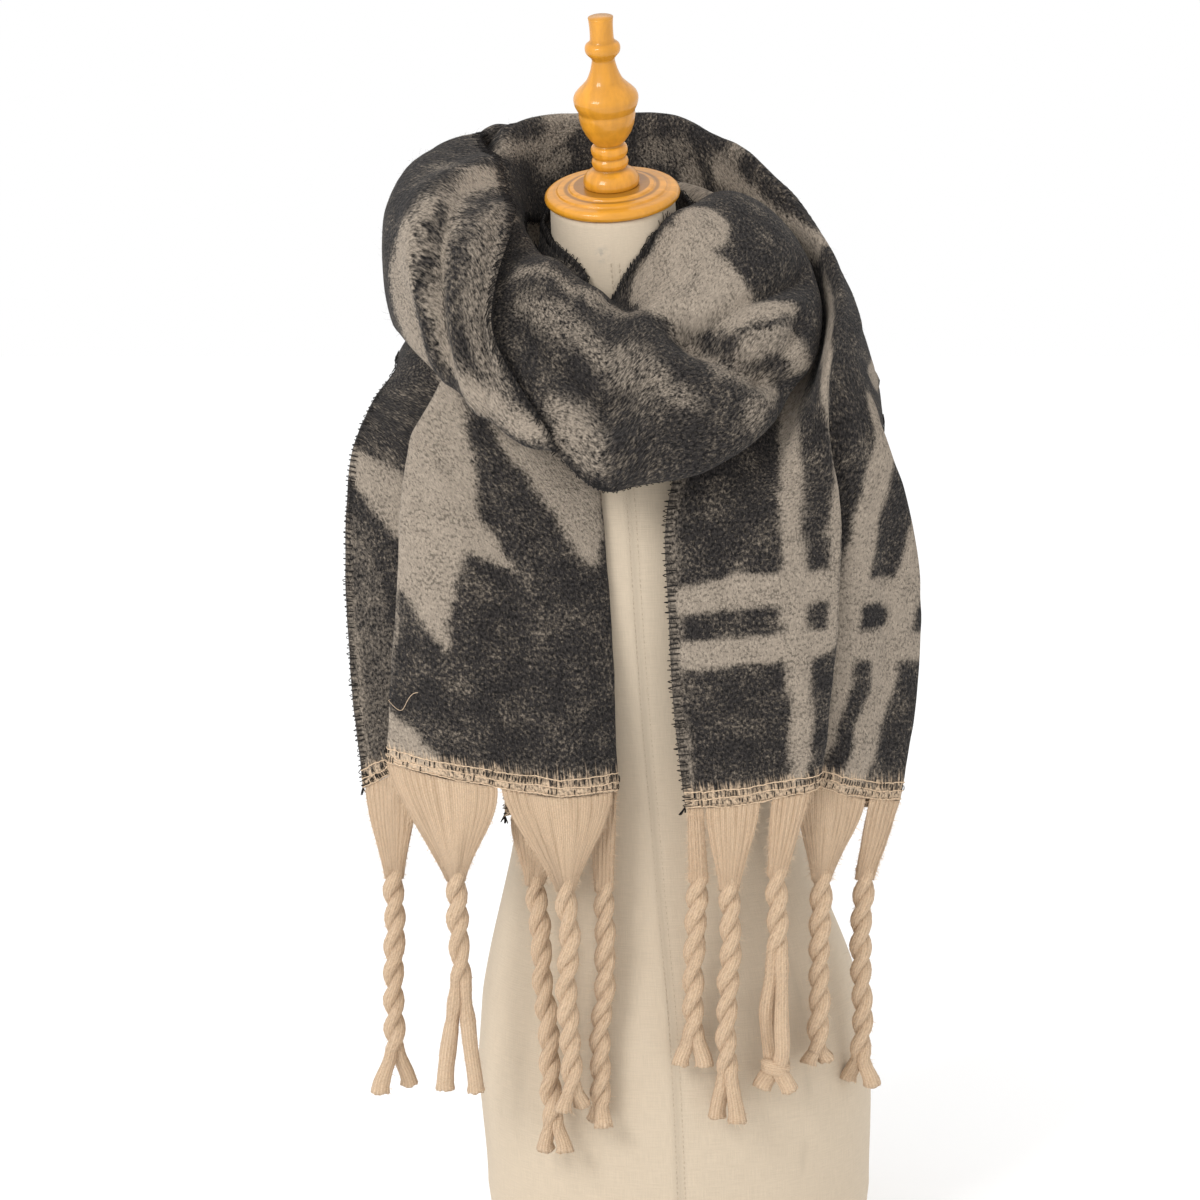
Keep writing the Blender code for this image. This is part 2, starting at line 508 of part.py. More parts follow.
def build_tassel(name, hem, from_guide, to_guide, apex, end, loose, spread):
    """A flat fan of yarn under the hem that narrows to a rope of two strands twisted together."""
    line, normal = hem_line(hem)
    at = np.linspace(from_guide, to_guide, 3) * FACES_A_SPAN
    corners = np.arange(len(line))
    top = np.stack([np.interp(at, corners, line[:, k]) for k in range(3)], axis=1)
    out = np.stack([np.interp(at, corners, normal[:, k]) for k in range(3)], axis=1)
    if top[0, 0] > top[2, 0]:
        top, out = top[::-1], out[::-1]
    if out[:, 1].mean() > 0:
        out = -out
    between = np.linspace(min(at), max(at), 60)
    low = np.interp(between, corners, line[:, 2])
    chord = np.interp(np.interp(between, corners, line[:, 0]), top[:, 0], top[:, 2])
    top = top - np.array([0, 0, FAN_GAPS[hem] + max(0.0, float((chord - low).max()))])
    apex, end = np.array(apex), np.array(end)
    wide = STRAND_GAP + STRAND_WIDE
    neck = np.array([[-wide, 0, 0], [0, 0, 0], [wide, 0, 0]]) + apex
    points = []
    for part in (0.0, 0.35, 0.7, 1.0):
        narrow = 0.5 * part * part * (3 - 2 * part) + 0.5 * part ** 1.5
        middle = top.mean(axis=0) * (1 - part) + apex * part
        middle = middle + (top - top.mean(axis=0)) * (1 - narrow) + (neck - apex) * narrow
        away = out * (1 - part) + np.array([0.0, -1.0, 0.0]) * part
        away /= np.linalg.norm(away, axis=1, keepdims=True)
        half = TASSEL_TOP / 2 * (1 - part) + STRAND_THICK / 2 * part
        points += list(middle + away * half) + list((middle - away * half)[::-1])
    faces = [(0, 5, 4, 1), (1, 4, 3, 2)]
    for i in range(3):
        for j in range(6):
            k = (j + 1) % 6
            faces.append((i * 6 + j, i * 6 + k, i * 6 + 6 + k, i * 6 + 6 + j))
    length = np.linalg.norm(end - apex)
    steps = max(4, round(length / STRAND_STEP))
    down = (end - apex) / length
    ex = np.cross(down, (0.0, 1.0, 0.0))
    ex *= np.sign(ex[0])
    ex /= np.linalg.norm(ex)
    ey = np.cross(down, ex)
    ey *= np.sign(ey[1])
    left, right = [4 + 18, 1 + 18, 0 + 18, 5 + 18], [1 + 18, 4 + 18, 3 + 18, 2 + 18]
    for ring, phase in ((right, 0.0), (left, pi)):
        last = ring
        turn = phase
        for i in range(1, steps + 1):
            part = i / steps
            free = np.clip((part - (1 - loose)) / loose, 0, 1)
            if i > 1 and part <= 1 - loose:
                turn -= STRAND_TURN
            apart = STRAND_GAP + spread * free * free * (3 - 2 * free)
            slim = 1 - 0.25 * free
            radial = ex * cos(turn) + ey * sin(turn)
            around = -ex * sin(turn) + ey * cos(turn)
            centre = apex + down * length * part
            this = []
            for a, b in ((0, -1), (0, 1), (1, 1), (1, -1)):
                this.append(len(points))
                points.append(
                    centre + radial * (apart + a * STRAND_WIDE * slim) + around * b * STRAND_THICK / 2 * slim
                )
            for j in range(4):
                k = (j + 1) % 4
                if j == 0:  # the side towards the other strand is cut so that the two never meet
                    faces.append((last[k], last[j], this[k]))
                    faces.append((this[k], last[j], this[j]))
                else:
                    faces.append((last[k], last[j], this[j]))
                    faces.append((this[k], last[k], this[j]))
            last = this
        faces.append((last[3], last[2], last[1], last[0]))
    faces = [face[::-1] for face in faces]
    return add_object(name, points, faces, YARN, 60.0)


build_form()
build_turned("neck_cap", CAP_ROWS, GAP, CAP_SIDES)
build_turned("finial", FINIAL_ROWS, 2 * GAP + CAP_ROWS[-1][0], FINIAL_SIDES)
build_cloth()
for tassel in TASSEL_ROWS:
    build_tassel(*tassel)
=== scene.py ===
"""Blanket scarf wound round the neck of a limbless dress form: the dressed model.

Laid out as a Blender add-on and run as a script. Metres, +Z up, the front faces -Y.
The scarf is one sheet. A place in the flat cloth is given by its distance along it from the left hem
and its distance across it from the inner edge; both are kept in metres in the UV map "flat".
"""

from functools import lru_cache, partial
from math import cos, pi, radians, sin, tan

import bpy
import numpy as np
from bpy.props import FloatProperty, FloatVectorProperty, IntProperty, PointerProperty
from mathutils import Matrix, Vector


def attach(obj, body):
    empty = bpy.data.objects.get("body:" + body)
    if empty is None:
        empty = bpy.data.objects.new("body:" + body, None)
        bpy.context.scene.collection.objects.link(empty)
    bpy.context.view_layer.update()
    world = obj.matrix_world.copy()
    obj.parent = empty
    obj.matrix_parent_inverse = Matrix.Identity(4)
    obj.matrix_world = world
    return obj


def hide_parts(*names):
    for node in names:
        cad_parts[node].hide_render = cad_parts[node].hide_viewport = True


bl_info = {
    "name": "Blanket Scarf",
    "version": (1, 0, 0),
    "blender": (4, 5, 0),
    "location": "View3D > Sidebar > Scarf",
    "description": "Builds a wound blanket scarf with twisted tassels on a dress form",
    "category": "Add Mesh",
}

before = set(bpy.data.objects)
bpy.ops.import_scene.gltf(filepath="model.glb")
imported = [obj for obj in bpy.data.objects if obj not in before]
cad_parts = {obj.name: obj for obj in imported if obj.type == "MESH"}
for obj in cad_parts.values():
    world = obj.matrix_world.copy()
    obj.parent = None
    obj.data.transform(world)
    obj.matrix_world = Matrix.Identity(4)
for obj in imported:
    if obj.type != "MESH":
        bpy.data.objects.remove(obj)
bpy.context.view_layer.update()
SCARF_NODES = ("tail_left", "neck_inner", "cowl_front", "neck_outer", "tail_right")
GAP = 0.0003  # between pieces that touch
LEAN = radians(3.9)  # the form leans to the left
NECK_TILT = radians(17.0)  # the top of the neck faces forward
LEAN_LEVELS, TILT_LEVELS = (0.10, 0.30), (0.79, 0.09)  # where each sets in, and over what height
NECK_AXIS = (-0.050, 0.005)  # X and Y of the axis that the scarf winds round
FRONT = np.array([0.0, -1.0, 0.0])
GUIDES = 10  # points that each section of the scarf runs through
CLEARANCE = 0.0010  # sought between the form and the cloth
SEAM_DEPTH, SEAM_HALF_WIDTH = 0.0004, 0.0012  # of the grooves in the form
RIDGE_HEIGHT, RIDGE_AWAY, RIDGE_HALF_WIDTH = 0.00015, 0.0045, 0.002  # beside each groove
SMUDGE = (-0.063, -0.058, 0.851)  # middle of the faint mark on the neck
ROPE_START = 0.010  # the rope begins this far up inside the fan


def in_metres(value):
    """A table of lengths that is written in millimetres."""
    return tuple(map(in_metres, value)) if isinstance(value, tuple) else value / 1000


# ------------------------------------------------------------------ tables
# Lengths in the tables are in millimetres and angles in degrees, unless a comment says otherwise.
# Dress form, a row for each level: centre X and Y, half width, depth to the front and to the back.
# Columns: z, cx, cy, half_width, front, back.
FORM_ROWS = in_metres((
    (0, 4, 0, 150, 100, 98),
    (12, 4, 0, 155.5, 105, 104),
    (70, 3, 0, 162, 112, 114),
    (165, -1, 0, 165.5, 114, 122),
    (245, -6, 0, 155, 106, 114),
    (330, -14, 0, 129, 92, 92),
    (400, -20, 0, 113, 84, 80),
    (480, -27, 0, 121, 92, 84),
    (560, -33, 0, 139, 105, 90),
    (620, -37, 1, 150, 106, 93),
    (675, -41, 3, 172, 98, 93),
    (712, -45, 6, 200, 86, 86),
    (733, -47, 8, 206, 76, 77),
    (750, -47.5, 9, 187, 68, 70),
    (768, -48, 9, 150, 62, 65),
    (788, -48.5, 7, 108, 57, 60),
    (806, -49.5, 4, 76, 54, 57),
    (830, -50.5, 0, 57, 51, 53),
    (860, -52.5, -5, 50.5, 50, 50),
    (891.5, -54, -9, 49.5, 49.5, 49.5),
))

# Wooden cap and finial, a row for each ring: height above the piece's flat base, radius.
# Columns: height, radius.
CAP_ROWS = in_metres((
    (0, 50.5), (1.6, 53), (4, 53.8), (6.4, 53), (8.2, 50.5), (9, 44), (10.2, 43.2), (10.8, 34.5),
    (12, 33.5), (12.4, 27),
))
FINIAL_ROWS = in_metres((
    (0, 21.6), (3, 22.2), (6.5, 21.5), (10, 19), (12.6, 15), (14.2, 12.8), (16, 13.8), (18.8, 14.6),
    (21.6, 13.8), (23.2, 12.7), (25.2, 13.8), (28.6, 14.6), (32, 13.6), (33.8, 11.4), (36.6, 13.6),
    (43, 18), (50, 20.9), (57, 22.2), (60.6, 22.2), (62.2, 22.8), (66.4, 24.8), (71.6, 25.5),
    (75.2, 24.2), (79.2, 20.6), (85.6, 14.4), (94, 10.7), (102, 9), (104.6, 10.2), (108, 13.2),
    (111.2, 13.9), (114.4, 13.1), (116.8, 10.2), (119, 9.3), (129, 9.2), (135.8, 9.8),
))

# Tails, a row for each level: X of the two edges and of the three lengthwise folds, Y of the front
# layer, and how far back the panel bows 100 mm away from its middle.
# Columns: z, edge_a, fold_1, fold_2, fold_3, edge_b, y_front, bow.
BOW_REACH = 0.1
LEFT_TAIL_ROWS = in_metres((
    (430, -140, -51, -232, -204, -254, -128, 12),
    (510, -138, -53, -227, -200, -262, -130, 12),
    (590, -134, -58, -221, -192, -266, -129, 13),
    (655, -124, -63, -217, -186, -265, -122, 17),
    (705, -105, -68, -210, -184, -258, -110, 22),
))
RIGHT_TAIL_ROWS = in_metres((
    (655, -13, 123, 106, 180, 130, -120, 16),
    (600, -12, 122, 100, 190, 126, -128, 17),
    (540, -9, 119, 97, 192, 120, -130, 17),
    (480, -4, 113, 92, 187, 114, -129, 17),
    (425, 3, 107, 86, 178, 108, -128, 18),
))
# For the ten guides of a tail: between which two columns each lies and how far along, how far it is
# behind the front layer, and how much higher than its row it ends at the hem. bow_x is the middle.
LEFT_PLACES = (0, 1, 1.25, 1.5, 1.75, 2, 3, 3.33, 3.67, 4)
RIGHT_PLACES = (0, 0.33, 0.67, 1, 2, 2.33, 2.67, 3, 3.5, 4)
LEFT_LAYERS = in_metres((28, 14, 1, 0, 1, 8, 22, 26, 28, 30))
RIGHT_LAYERS = in_metres((0, 0, 1, 8, 24, 18, 22, 32, 48, 54))
LEFT_HEM_RISE = in_metres((-20, 4, 4, 11, 19, 27, 24, 16, 6, -4))
RIGHT_HEM_RISE = in_metres((0, 2, 6, 14, 18, 6, -6, -16, -22, -26))
LEFT_BOW_X, RIGHT_BOW_X = in_metres((-110, 20))

# Sections round the neck. turn is the angle (0 front, 90 right, 180 back); edge_lead is how far the
# first guide is ahead of the last; then the ten distances from the axis and ten levels.
# Columns: turn, edge_lead, distances, levels.
NECK_ROWS = (
    (-80, 58, (63, 76, 92, 110, 128, 145, 155, 164, 173, 180),
     (832, 821, 812, 806, 801, 795, 788, 780, 770, 758)),
    (-105, 20, (58, 64, 74, 89, 106, 122, 137, 151, 164, 175),
     (870, 846, 832, 822, 814, 806, 797, 787, 775, 758)),
    (-135, 0, (60, 63, 69, 78, 88, 98, 108, 118, 128, 136),
     (892, 862, 840, 826, 820, 818, 812, 796, 774, 748)),
    (-180, 0, (63, 65, 69, 74, 79, 85, 91, 96, 99, 100),
     (908, 868, 835, 822, 845, 882, 893, 872, 838, 805)),
    (-225, 0, (61, 64, 70, 77, 84, 91, 97, 101, 103, 103),
     (900, 872, 856, 854, 870, 890, 893, 876, 848, 818)),
    (-270, 0, (58, 68, 84, 104, 124, 141, 151, 152, 146, 131),
     (880, 890, 896, 892, 880, 861, 840, 825, 814, 811)),
    (-300, 0, (56, 68, 86, 108, 131, 152, 168, 174, 171, 153),
     (878, 888, 886, 871, 850, 824, 797, 778, 763, 756)),
    (-330, 0, (56, 64, 78, 97, 120, 145, 165, 172, 164, 147),
     (870, 865, 851, 832, 808, 780, 745, 720, 704, 698)),
    (-352, 0, (58, 63, 72, 92, 120, 145, 164, 170, 162, 148),
     (842, 822, 808, 808, 794, 766, 730, 704, 690, 686)),
    (-368, 0, (70, 73, 81, 101, 127, 149, 164, 170, 171, 169),
     (814, 818, 823, 816, 795, 762, 724, 708, 698, 690)),
    (-382, 0, (73, 76, 84, 107, 133, 153, 170, 175, 176, 172),
     (823, 829, 834, 828, 804, 768, 716, 722, 734, 746)),
    (-394, 0, (74, 77, 87, 113, 139, 157, 175, 179, 176, 170),
     (834, 843, 848, 842, 814, 776, 736, 756, 780, 802)),
    (-410, 0, (74, 78, 92, 120, 144, 161, 180, 186, 164, 110),
     (846, 851, 852, 842, 820, 795, 768, 800, 852, 868)),
    (-430, 0, (74, 79, 97, 123, 144, 160, 178, 188, 168, 92),
     (856, 868, 872, 859, 834, 807, 788, 836, 890, 898)),
    (-450, 0, (75, 82, 102, 127, 145, 159, 172, 186, 170, 96),
     (864, 882, 890, 870, 840, 810, 790, 850, 906, 918)),
    (-470, 0, (80, 87, 106, 126, 140, 153, 167, 185, 166, 118),
     (870, 898, 916, 893, 855, 817, 786, 856, 922, 938)),
    (-490, 0, (94, 99, 112, 125, 138, 149, 163, 178, 162, 131),
     (868, 912, 943, 924, 878, 824, 770, 846, 924, 942)),
    (-515, 0, (104, 106, 113, 127, 141, 153, 166, 179, 169, 143),
     (862, 910, 951, 938, 886, 822, 748, 806, 898, 934)),
    (-545, 0, (109, 109, 113, 127, 142, 154, 166, 178, 184, 175),
     (858, 905, 951, 942, 890, 825, 748, 740, 782, 826)),
    (-575, 0, (109, 110, 116, 129, 143, 155, 165, 171, 176, 180),
     (835, 880, 938, 936, 888, 832, 782, 754, 728, 704)),
    (-600, 0, (113, 125, 131, 138, 151, 162, 172, 180, 187, 193),
     (790, 800, 862, 910, 890, 848, 806, 772, 740, 708)),
    (-616, -6, (108, 129, 150, 157, 164, 173, 183, 192, 199, 205),
     (797, 788, 800, 862, 864, 838, 810, 782, 752, 718)),
    (-629, -16, (103, 130, 160, 172, 178, 184, 191, 199, 206, 211),
     (796, 783, 772, 818, 830, 817, 797, 774, 748, 715)),
    (-641, -34, (100, 124, 158, 190, 191, 195, 202, 209, 213, 213),
     (752, 737, 712, 757, 777, 774, 762, 745, 726, 702)),
)

# Twisted tassels, a row for each: the hem it hangs from, the guides it spans there, the point where
# its fan ends, the end of its rope, the loose share of the rope, and how far its ends are apart.
# Columns: name, hem, from_guide, to_guide, apex, end, loose, spread.
TASSEL_ROWS = (
    ("tassel_left_1", "left", 8.9, 6.4, (-229, -92, 357), (-231, -94, 179), 0.18, 11),
    ("tassel_left_2", "left", 5.0, 3.08, (-178, -124, 365), (-176, -124, 189), 0.5, 9),
    ("tassel_left_3", "left", 3.0, 1.22, (-91, -134, 360), (-86, -136, 178), 0.08, 6),
    ("tassel_left_4", "left", 0.56, 0.94, (-61, -112, 353), (-64, -121, 160), 0.08, 6),
    ("tassel_left_5", "left", 0.04, 0.5, (-116, -106, 356), (-100, -121, 136), 0.1, 6),
    ("tassel_right_1", "right", 0.05, 0.4, (14, -124, 364), (10, -128, 212), 0.15, 6),
    ("tassel_right_2", "right", 0.46, 1.74, (38, -128, 358), (38, -134, 168), 0.2, 6),
    ("tassel_right_3", "right", 1.98, 2.62, (76, -122, 368), (77, -124, 190), 0.62, 9),
    ("tassel_right_4", "right", 4.3, 6.02, (113, -98, 357), (112, -100, 204), 0.06, 6),
    ("tassel_right_5", "right", 6.12, 6.9, (150, -72, 350), (150, -70, 175), 0.12, 7),
)
KNOTS = {"tassel_right_3": 0.90}  # how far down its rope a tassel's loose ends are knotted

# Folds pressed into the cloth: distances along the cloth from the left hem and across it from its
# inner edge, both for the start and the end of the fold; half width; depth (a ridge is negative).
# Columns: along_1, across_1, along_2, across_2, half_width, depth.
FOLD_ROWS = in_metres((
    (940, 80, 850, 200, 15, 14), (925, 96, 790, 132, 14, 12), (900, 122, 850, 148, 14, -5),
    (1095, 80, 985, 125, 15, 10), (990, 122, 930, 200, 15, 7), (1060, 118, 960, 175, 18, -6),
    (1230, 375, 1137, 200, 13, 10), (1195, 352, 1106, 178, 12, -6), (1155, 315, 1088, 168, 11, 7),
    (1400, 180, 1640, 285, 20, 12), (1430, 270, 1600, 205, 16, 8), (1460, 330, 1720, 215, 20, 10),
    (0, 235, 230, 210, 22, -5), (0, 165, 250, 150, 16, 5), (1900, 45, 2146, 70, 18, 4),
    (1880, 85, 2146, 108, 16, -4),
))
# Fine creases that the cloth has besides its pressed folds, in the same columns.
CREASE_ROWS = in_metres((
    (935, 74, 862, 190, 7, 8), (930, 88, 800, 130, 5.5, 5), (912, 86, 826, 138, 8, -5.5),
    (884, 170, 834, 150, 7, 6), (1085, 100, 975, 150, 7, 4.5), (1045, 95, 950, 125, 6, -3),
    (1070, 88, 930, 150, 5, 2), (1166, 282, 1120, 158, 7, 6), (1196, 352, 1100, 190, 6, 4.5),
    (1150, 300, 1072, 214, 6, -2.8), (1215, 120, 1090, 110, 6.5, 3), (1255, 392, 1345, 478, 15, -2.5),
    (1275, 108, 1330, 88, 16, -5), (1480, 150, 1610, 235, 8, 3.5), (1400, 300, 1560, 330, 9, 3),
    (1700, 60, 1860, 120, 7, 2.5), (1650, 120, 1800, 175, 8, -3), (250, 120, 60, 135, 9, 2),
    (300, 180, 20, 200, 12, -2.2), (1930, 60, 2120, 52, 10, -2), (1950, 235, 2130, 228, 9, 2.5),
))

# The woven pattern on the dark ground, a row for each pale band: the share of pale in it, then the
# places that it runs through, each (along, across, half width). Stripes run on, teeth end in a point.
# Columns: share, places.
BAND_ROWS = (
    # left end: one large tooth check
    (1.0, ((325, 126, 12), (308, 137, 16), (276, 159, 19), (238, 181, 21), (205, 199, 23),
           (180, 211, 21), (160, 219, 19), (142, 222, 14), (125, 219, 8), (108, 216, 1))),
    (1.0, ((290, 176, 12), (262, 200, 16), (235, 218, 24), (190, 236, 26), (165, 238, 14),
           (150, 236, 4))),
    (1.0, ((216, 180, 16), (198, 170, 14), (185, 158, 6), (176, 149, 1))),
    (1.0, ((300, 66, 30), (275, 78, 34), (250, 80, 30), (232, 83, 24), (208, 86, 17), (176, 85, 2))),
    (1.0, ((52, 279, 3), (38, 275, 9), (24, 268, 16), (6, 260, 24))),
    (0.6, ((150, 248, 3), (104, 263, 3), (65, 281, 4))),
    (0.9, ((264, 345, 6), (247, 327, 16), (228, 307, 24), (205, 286, 24), (178, 262, 13))),
    (0.22, ((200, 345, 10), (160, 340, 14), (20, 350, 18))),
    (0.5, ((270, 345, 4), (190, 356, 5), (100, 364, 6), (0, 368, 7))),
    (1.0, ((210, 4, 14), (150, 14, 20), (80, 20, 4))),
    (1.0, ((460, 160, 30), (430, 60, 24))),
    (1.0, ((560, 20, 26), (520, 100, 30), (480, 160, 10))),
    (0.9, ((640, 104, 22), (672, 100, 22), (700, 60, 16))),
    # right panel of the cowl
    (1.0, ((948, 28, 16), (918, 34, 24), (886, 40, 27), (860, 41, 21))),
    (1.0, ((936, 54, 20), (908, 66, 26), (886, 78, 22), (866, 104, 10))),
    (0.95, ((890, 106, 8), (872, 116, 11), (856, 126, 10), (840, 137, 5))),
    (0.65, ((886, 136, 8), (866, 149, 10), (848, 154, 8))),
    (0.72, ((938, 82, 3), (922, 96, 5), (911, 116, 5), (903, 138, 6), (893, 153, 7), (879, 176, 11),
            (868, 190, 8))),
    (0.42, ((896, 180, 8), (890, 192, 8))),
    (0.8, ((849, 160, 9), (844, 180, 9))),
    # front of the cowl, mingled with the ground
    (0.66, ((1100, 52, 6), (1078, 43, 7), (1056, 36, 7), (1035, 36, 7), (1014, 36, 7), (990, 32, 6),
            (962, 58, 5))),
    (0.46, ((1078, 79, 9), (1053, 73, 12), (1037, 71, 12), (1018, 75, 12), (1005, 78, 12),
            (988, 88, 11), (975, 107, 11), (962, 127, 10), (949, 144, 9), (935, 160, 7))),
    (0.62, ((1030, 136, 8), (1012, 145, 19), (999, 150, 9))),
    (0.5, ((1018, 158, 13), (1003, 166, 11))),
    # flap and roll at the left of the cowl
    (0.92, ((1200, 353, 6), (1192, 329, 8), (1177, 301, 7), (1165, 286, 7), (1149, 262, 7),
            (1140, 244, 7), (1134, 229, 6), (1130, 215, 6), (1125, 201, 6), (1120, 187, 6),
            (1113, 178, 8), (1098, 183, 11), (1082, 190, 13), (1066, 193, 14), (1049, 190, 12),
            (1034, 186, 8))),
    (0.5, ((1153, 313, 6), (1141, 290, 10), (1120, 268, 16), (1105, 250, 20), (1092, 235, 20),
           (1080, 222, 18), (1070, 212, 12))),
    (0.8, ((1112, 281, 5), (1104, 270, 8), (1094, 255, 5))),
    (0.88, ((1168, 272, 5), (1160, 255, 8), (1156, 240, 11), (1157, 226, 15), (1156, 205, 18),
            (1154, 183, 18), (1149, 165, 15), (1142, 150, 11), (1130, 138, 8))),
    (0.45, ((1222, 322, 10), (1208, 316, 8))),
    (0.8, ((1195, 30, 10), (1235, 78, 12), (1290, 110, 12))),
    # second turn behind the neck
    (0.62, ((1280, 66, 7), (1310, 62, 8), (1340, 60, 8), (1362, 63, 9), (1386, 74, 9), (1408, 88, 8))),
    (0.6, ((1357, 47, 6), (1372, 50, 9), (1392, 56, 8))),
    (0.85, ((1378, 86, 7), (1400, 95, 10), (1415, 98, 8))),
    (0.7, ((1290, 395, 8), (1335, 412, 10), (1380, 415, 8))),
    (1.0, ((1300, 160, 30), (1360, 200, 34), (1430, 260, 30), (1440, 330, 6))),
    (1.0, ((1420, 160, 12), (1560, 190, 12), (1700, 195, 12), (1800, 215, 12))),
    (1.0, ((1400, 240, 12), (1560, 250, 12), (1700, 240, 10))),
    (1.0, ((1470, 160, 13), (1490, 400, 13))),
    (1.0, ((1600, 170, 13), (1610, 380, 13))),
    (0.3, ((1500, 65, 12), (1556, 80, 12))),
    (0.7, ((1552, 62, 8), (1564, 70, 10), (1576, 52, 11), (1590, 30, 10))),
    (0.85, ((1592, 92, 9), (1613, 99, 9), (1640, 103, 8), (1670, 102, 8), (1700, 104, 9),
            (1710, 112, 10), (1712, 135, 8))),
    (0.6, ((1596, 100, 10), (1608, 126, 9), (1604, 146, 8))),
    # right end: double lines both ways
    (1.0, ((1738, 104, 8), (1763, 107, 9), (1785, 120, 9), (1802, 131, 10), (1830, 142, 11),
           (1860, 140, 9), (1885, 135, 8), (1930, 137, 7), (1990, 134, 6), (2018, 130, 6),
           (2030, 129, 3))),
    (1.0, ((1760, 60, 10), (1833, 86, 9.5), (1882, 91, 9), (1926, 97, 8.5), (1957, 99, 9.5),
           (1987, 97, 9.5), (2020, 100, 9.5), (2055, 98, 9), (2089, 99, 9), (2125, 94, 7.5),
           (2150, 89, 6.5))),
    (1.0, ((1988, 14, 11.5), (1981, 57, 12.5), (1980, 97, 12.5), (1979, 130, 12))),
    (1.0, ((2032, 14, 11), (2028, 55, 11.5), (2025, 101, 12), (2025, 124, 10))),
    (0.5, ((1850, 4, 7), (2000, 3, 7), (2150, 3, 7))),
    (1.0, ((1845, 204, 8), (1862, 203, 10), (1898, 202, 12.5), (1918, 206, 12.5), (1939, 210, 12),
           (1963, 207, 12.5), (1987, 199, 13.5), (2008, 193, 13), (2037, 189, 13), (2062, 181, 13),
           (2088, 172, 12.5), (2112, 165, 11), (2135, 158, 10))),
    (1.0, ((2034, 232, 15), (2062, 227, 12.5), (2078, 220, 12), (2094, 213, 12.5), (2110, 207, 12.5),
           (2127, 199, 11.5), (2150, 191, 10))),
    (1.0, ((1942, 268, 8), (1962, 262, 12), (1984, 256, 14), (2004, 250, 14), (2032, 243, 14))),
    (1.0, ((1990, 196, 11), (1991, 228, 11), (1994, 262, 11), (1990, 300, 10))),
    (1.0, ((2034, 190, 11), (2034, 228, 13), (2036, 258, 12), (2040, 300, 10))),
    (1.0, ((1700, 300, 12), (1900, 312, 12), (2150, 312, 12))),
)
# Dark strokes over the pale bands, in the same columns.
STROKE_ROWS = (
    (0.85, ((1184, 334, 2), (1164, 304, 6), (1149, 279, 5), (1140, 268, 2))),
    (0.7, ((1134, 261, 2), (1129, 246, 4), (1123, 234, 3), (1117, 224, 3), (1112, 213, 3),
           (1109, 202, 3), (1105, 194, 2))),
    (0.45, ((1096, 252, 2), (1082, 226, 3), (1078, 206, 2))),
    (0.85, ((1161, 270, 2), (1153, 258, 5), (1147, 245, 6), (1143, 236, 2))),
    (0.75, ((1139, 228, 2), (1138, 215, 5), (1137, 204, 4), (1136, 189, 5), (1132, 178, 5),
            (1126, 168, 5), (1121, 161, 5), (1111, 154, 6))),
    (0.7, ((2008, 222, 8.5), (2014, 219, 8.5))),
    (0.8, ((1722, 120, 6), (1726, 104, 5))),
    (0.4, ((915, 60, 3), (905, 66, 4), (896, 62, 2))),
    (0.4, ((262, 172, 2), (254, 176, 3))),
)

# How far the two colours mingle along the cloth: distance along, share.
MINGLE_ROWS = (
    (0, 0.25), (140, 0.4), (260, 0.65), (400, 0.5), (760, 0.6), (850, 0.45), (920, 0.8), (1000, 1.0),
    (1250, 1.0), (1450, 0.7), (1650, 0.5), (1850, 0.25), (2150, 0.2),
)

# A small fold of the inner layers that fills the crease above the flap, as (x, y, z, radius).
INNER_FOLD = in_metres((
    (-170.2, 73, 922.1, 3), (-163.7, 77.2, 927.5, 7), (-157.3, 81.8, 931.8, 9),
    (-150.8, 86.2, 935.5, 9), (-143.6, 91.6, 939, 7), (-135.6, 97.1, 941.2, 3),
))

# One loose pale thread on the left tail, as (along, across, height above the middle surface).
LOOSE_THREAD = in_metres((
    (66, 279, 4), (57, 272, 3), (52, 264, 2.6), (61, 257, 3.4), (70, 249, 6), (73, 243, 7.5),
))

# Rings of a loose fibre: share of its length, share of its width.
STUB = ((0.0, 1.0), (1.0, 0.0))
CURL = ((0.0, 1.0), (0.35, 0.9), (0.7, 0.6), (1.0, 0.0))

# One turn of whip thread: towards the cloth (negative) or past its edge, and share of its height.
WHIP_TURN = (
    (-1.0, 1.0), (-0.4, 1.12), (0.45, 0.75), (1.0, 0.0), (0.45, -0.75), (-0.4, -1.12), (-1.0, -1.0),
)

# Seams of the form: angle from the front in radians, and how far the seam sways to the side.
# Columns: middle, sway.
SEAM_ROWS = (
    (0.0, 0.0), (pi, 0.0), (0.62, 0.16), (-0.62, -0.16), (pi / 2, 0.0), (-pi / 2, 0.0),
    (pi - 0.62, -0.16), (pi + 0.62, 0.16),
)

# Radii of the threads, and how far their middle lines lie off the cloth's face.
WHIP, WEFT, HEM_LINE, TUFT, LOOSE, SEAM = in_metres((0.34, 0.42, 0.48, 0.45, 0.22, 0.22))
WHIP_LIFT, WEFT_LIFT, HEM_LINE_LIFT = in_metres((0.6, 0.7, 0.4))
HEM_ROWS = (0.0040, 0.0106)  # in metres: distance of the two stitched rows from the hem
HEM_LINES = ((-0.0033, 0.0033), (0.0033,))  # in metres: pale threads of each row, from its middle


# ------------------------------------------------------------------ curves
def unit(vectors):
    return vectors / np.linalg.norm(vectors, axis=-1, keepdims=True)


def ease(t):
    """3t^2 - 2t^3, which rises softly from 0 to 1."""
    return t * t * (3 - 2 * t)


def reach_along(line, power=1.0):
    """At each point of a line the sum of its steps up to there, each raised to a power."""
    return np.concatenate([[0.0], np.cumsum(np.linalg.norm(np.diff(line, axis=0), axis=1) ** power)])


def straight_through(knots, values, at):
    """Straight steps through the vectors at knots, read at the positions in at."""
    return np.stack([np.interp(at, knots, values[:, k]) for k in range(values.shape[1])], axis=-1)


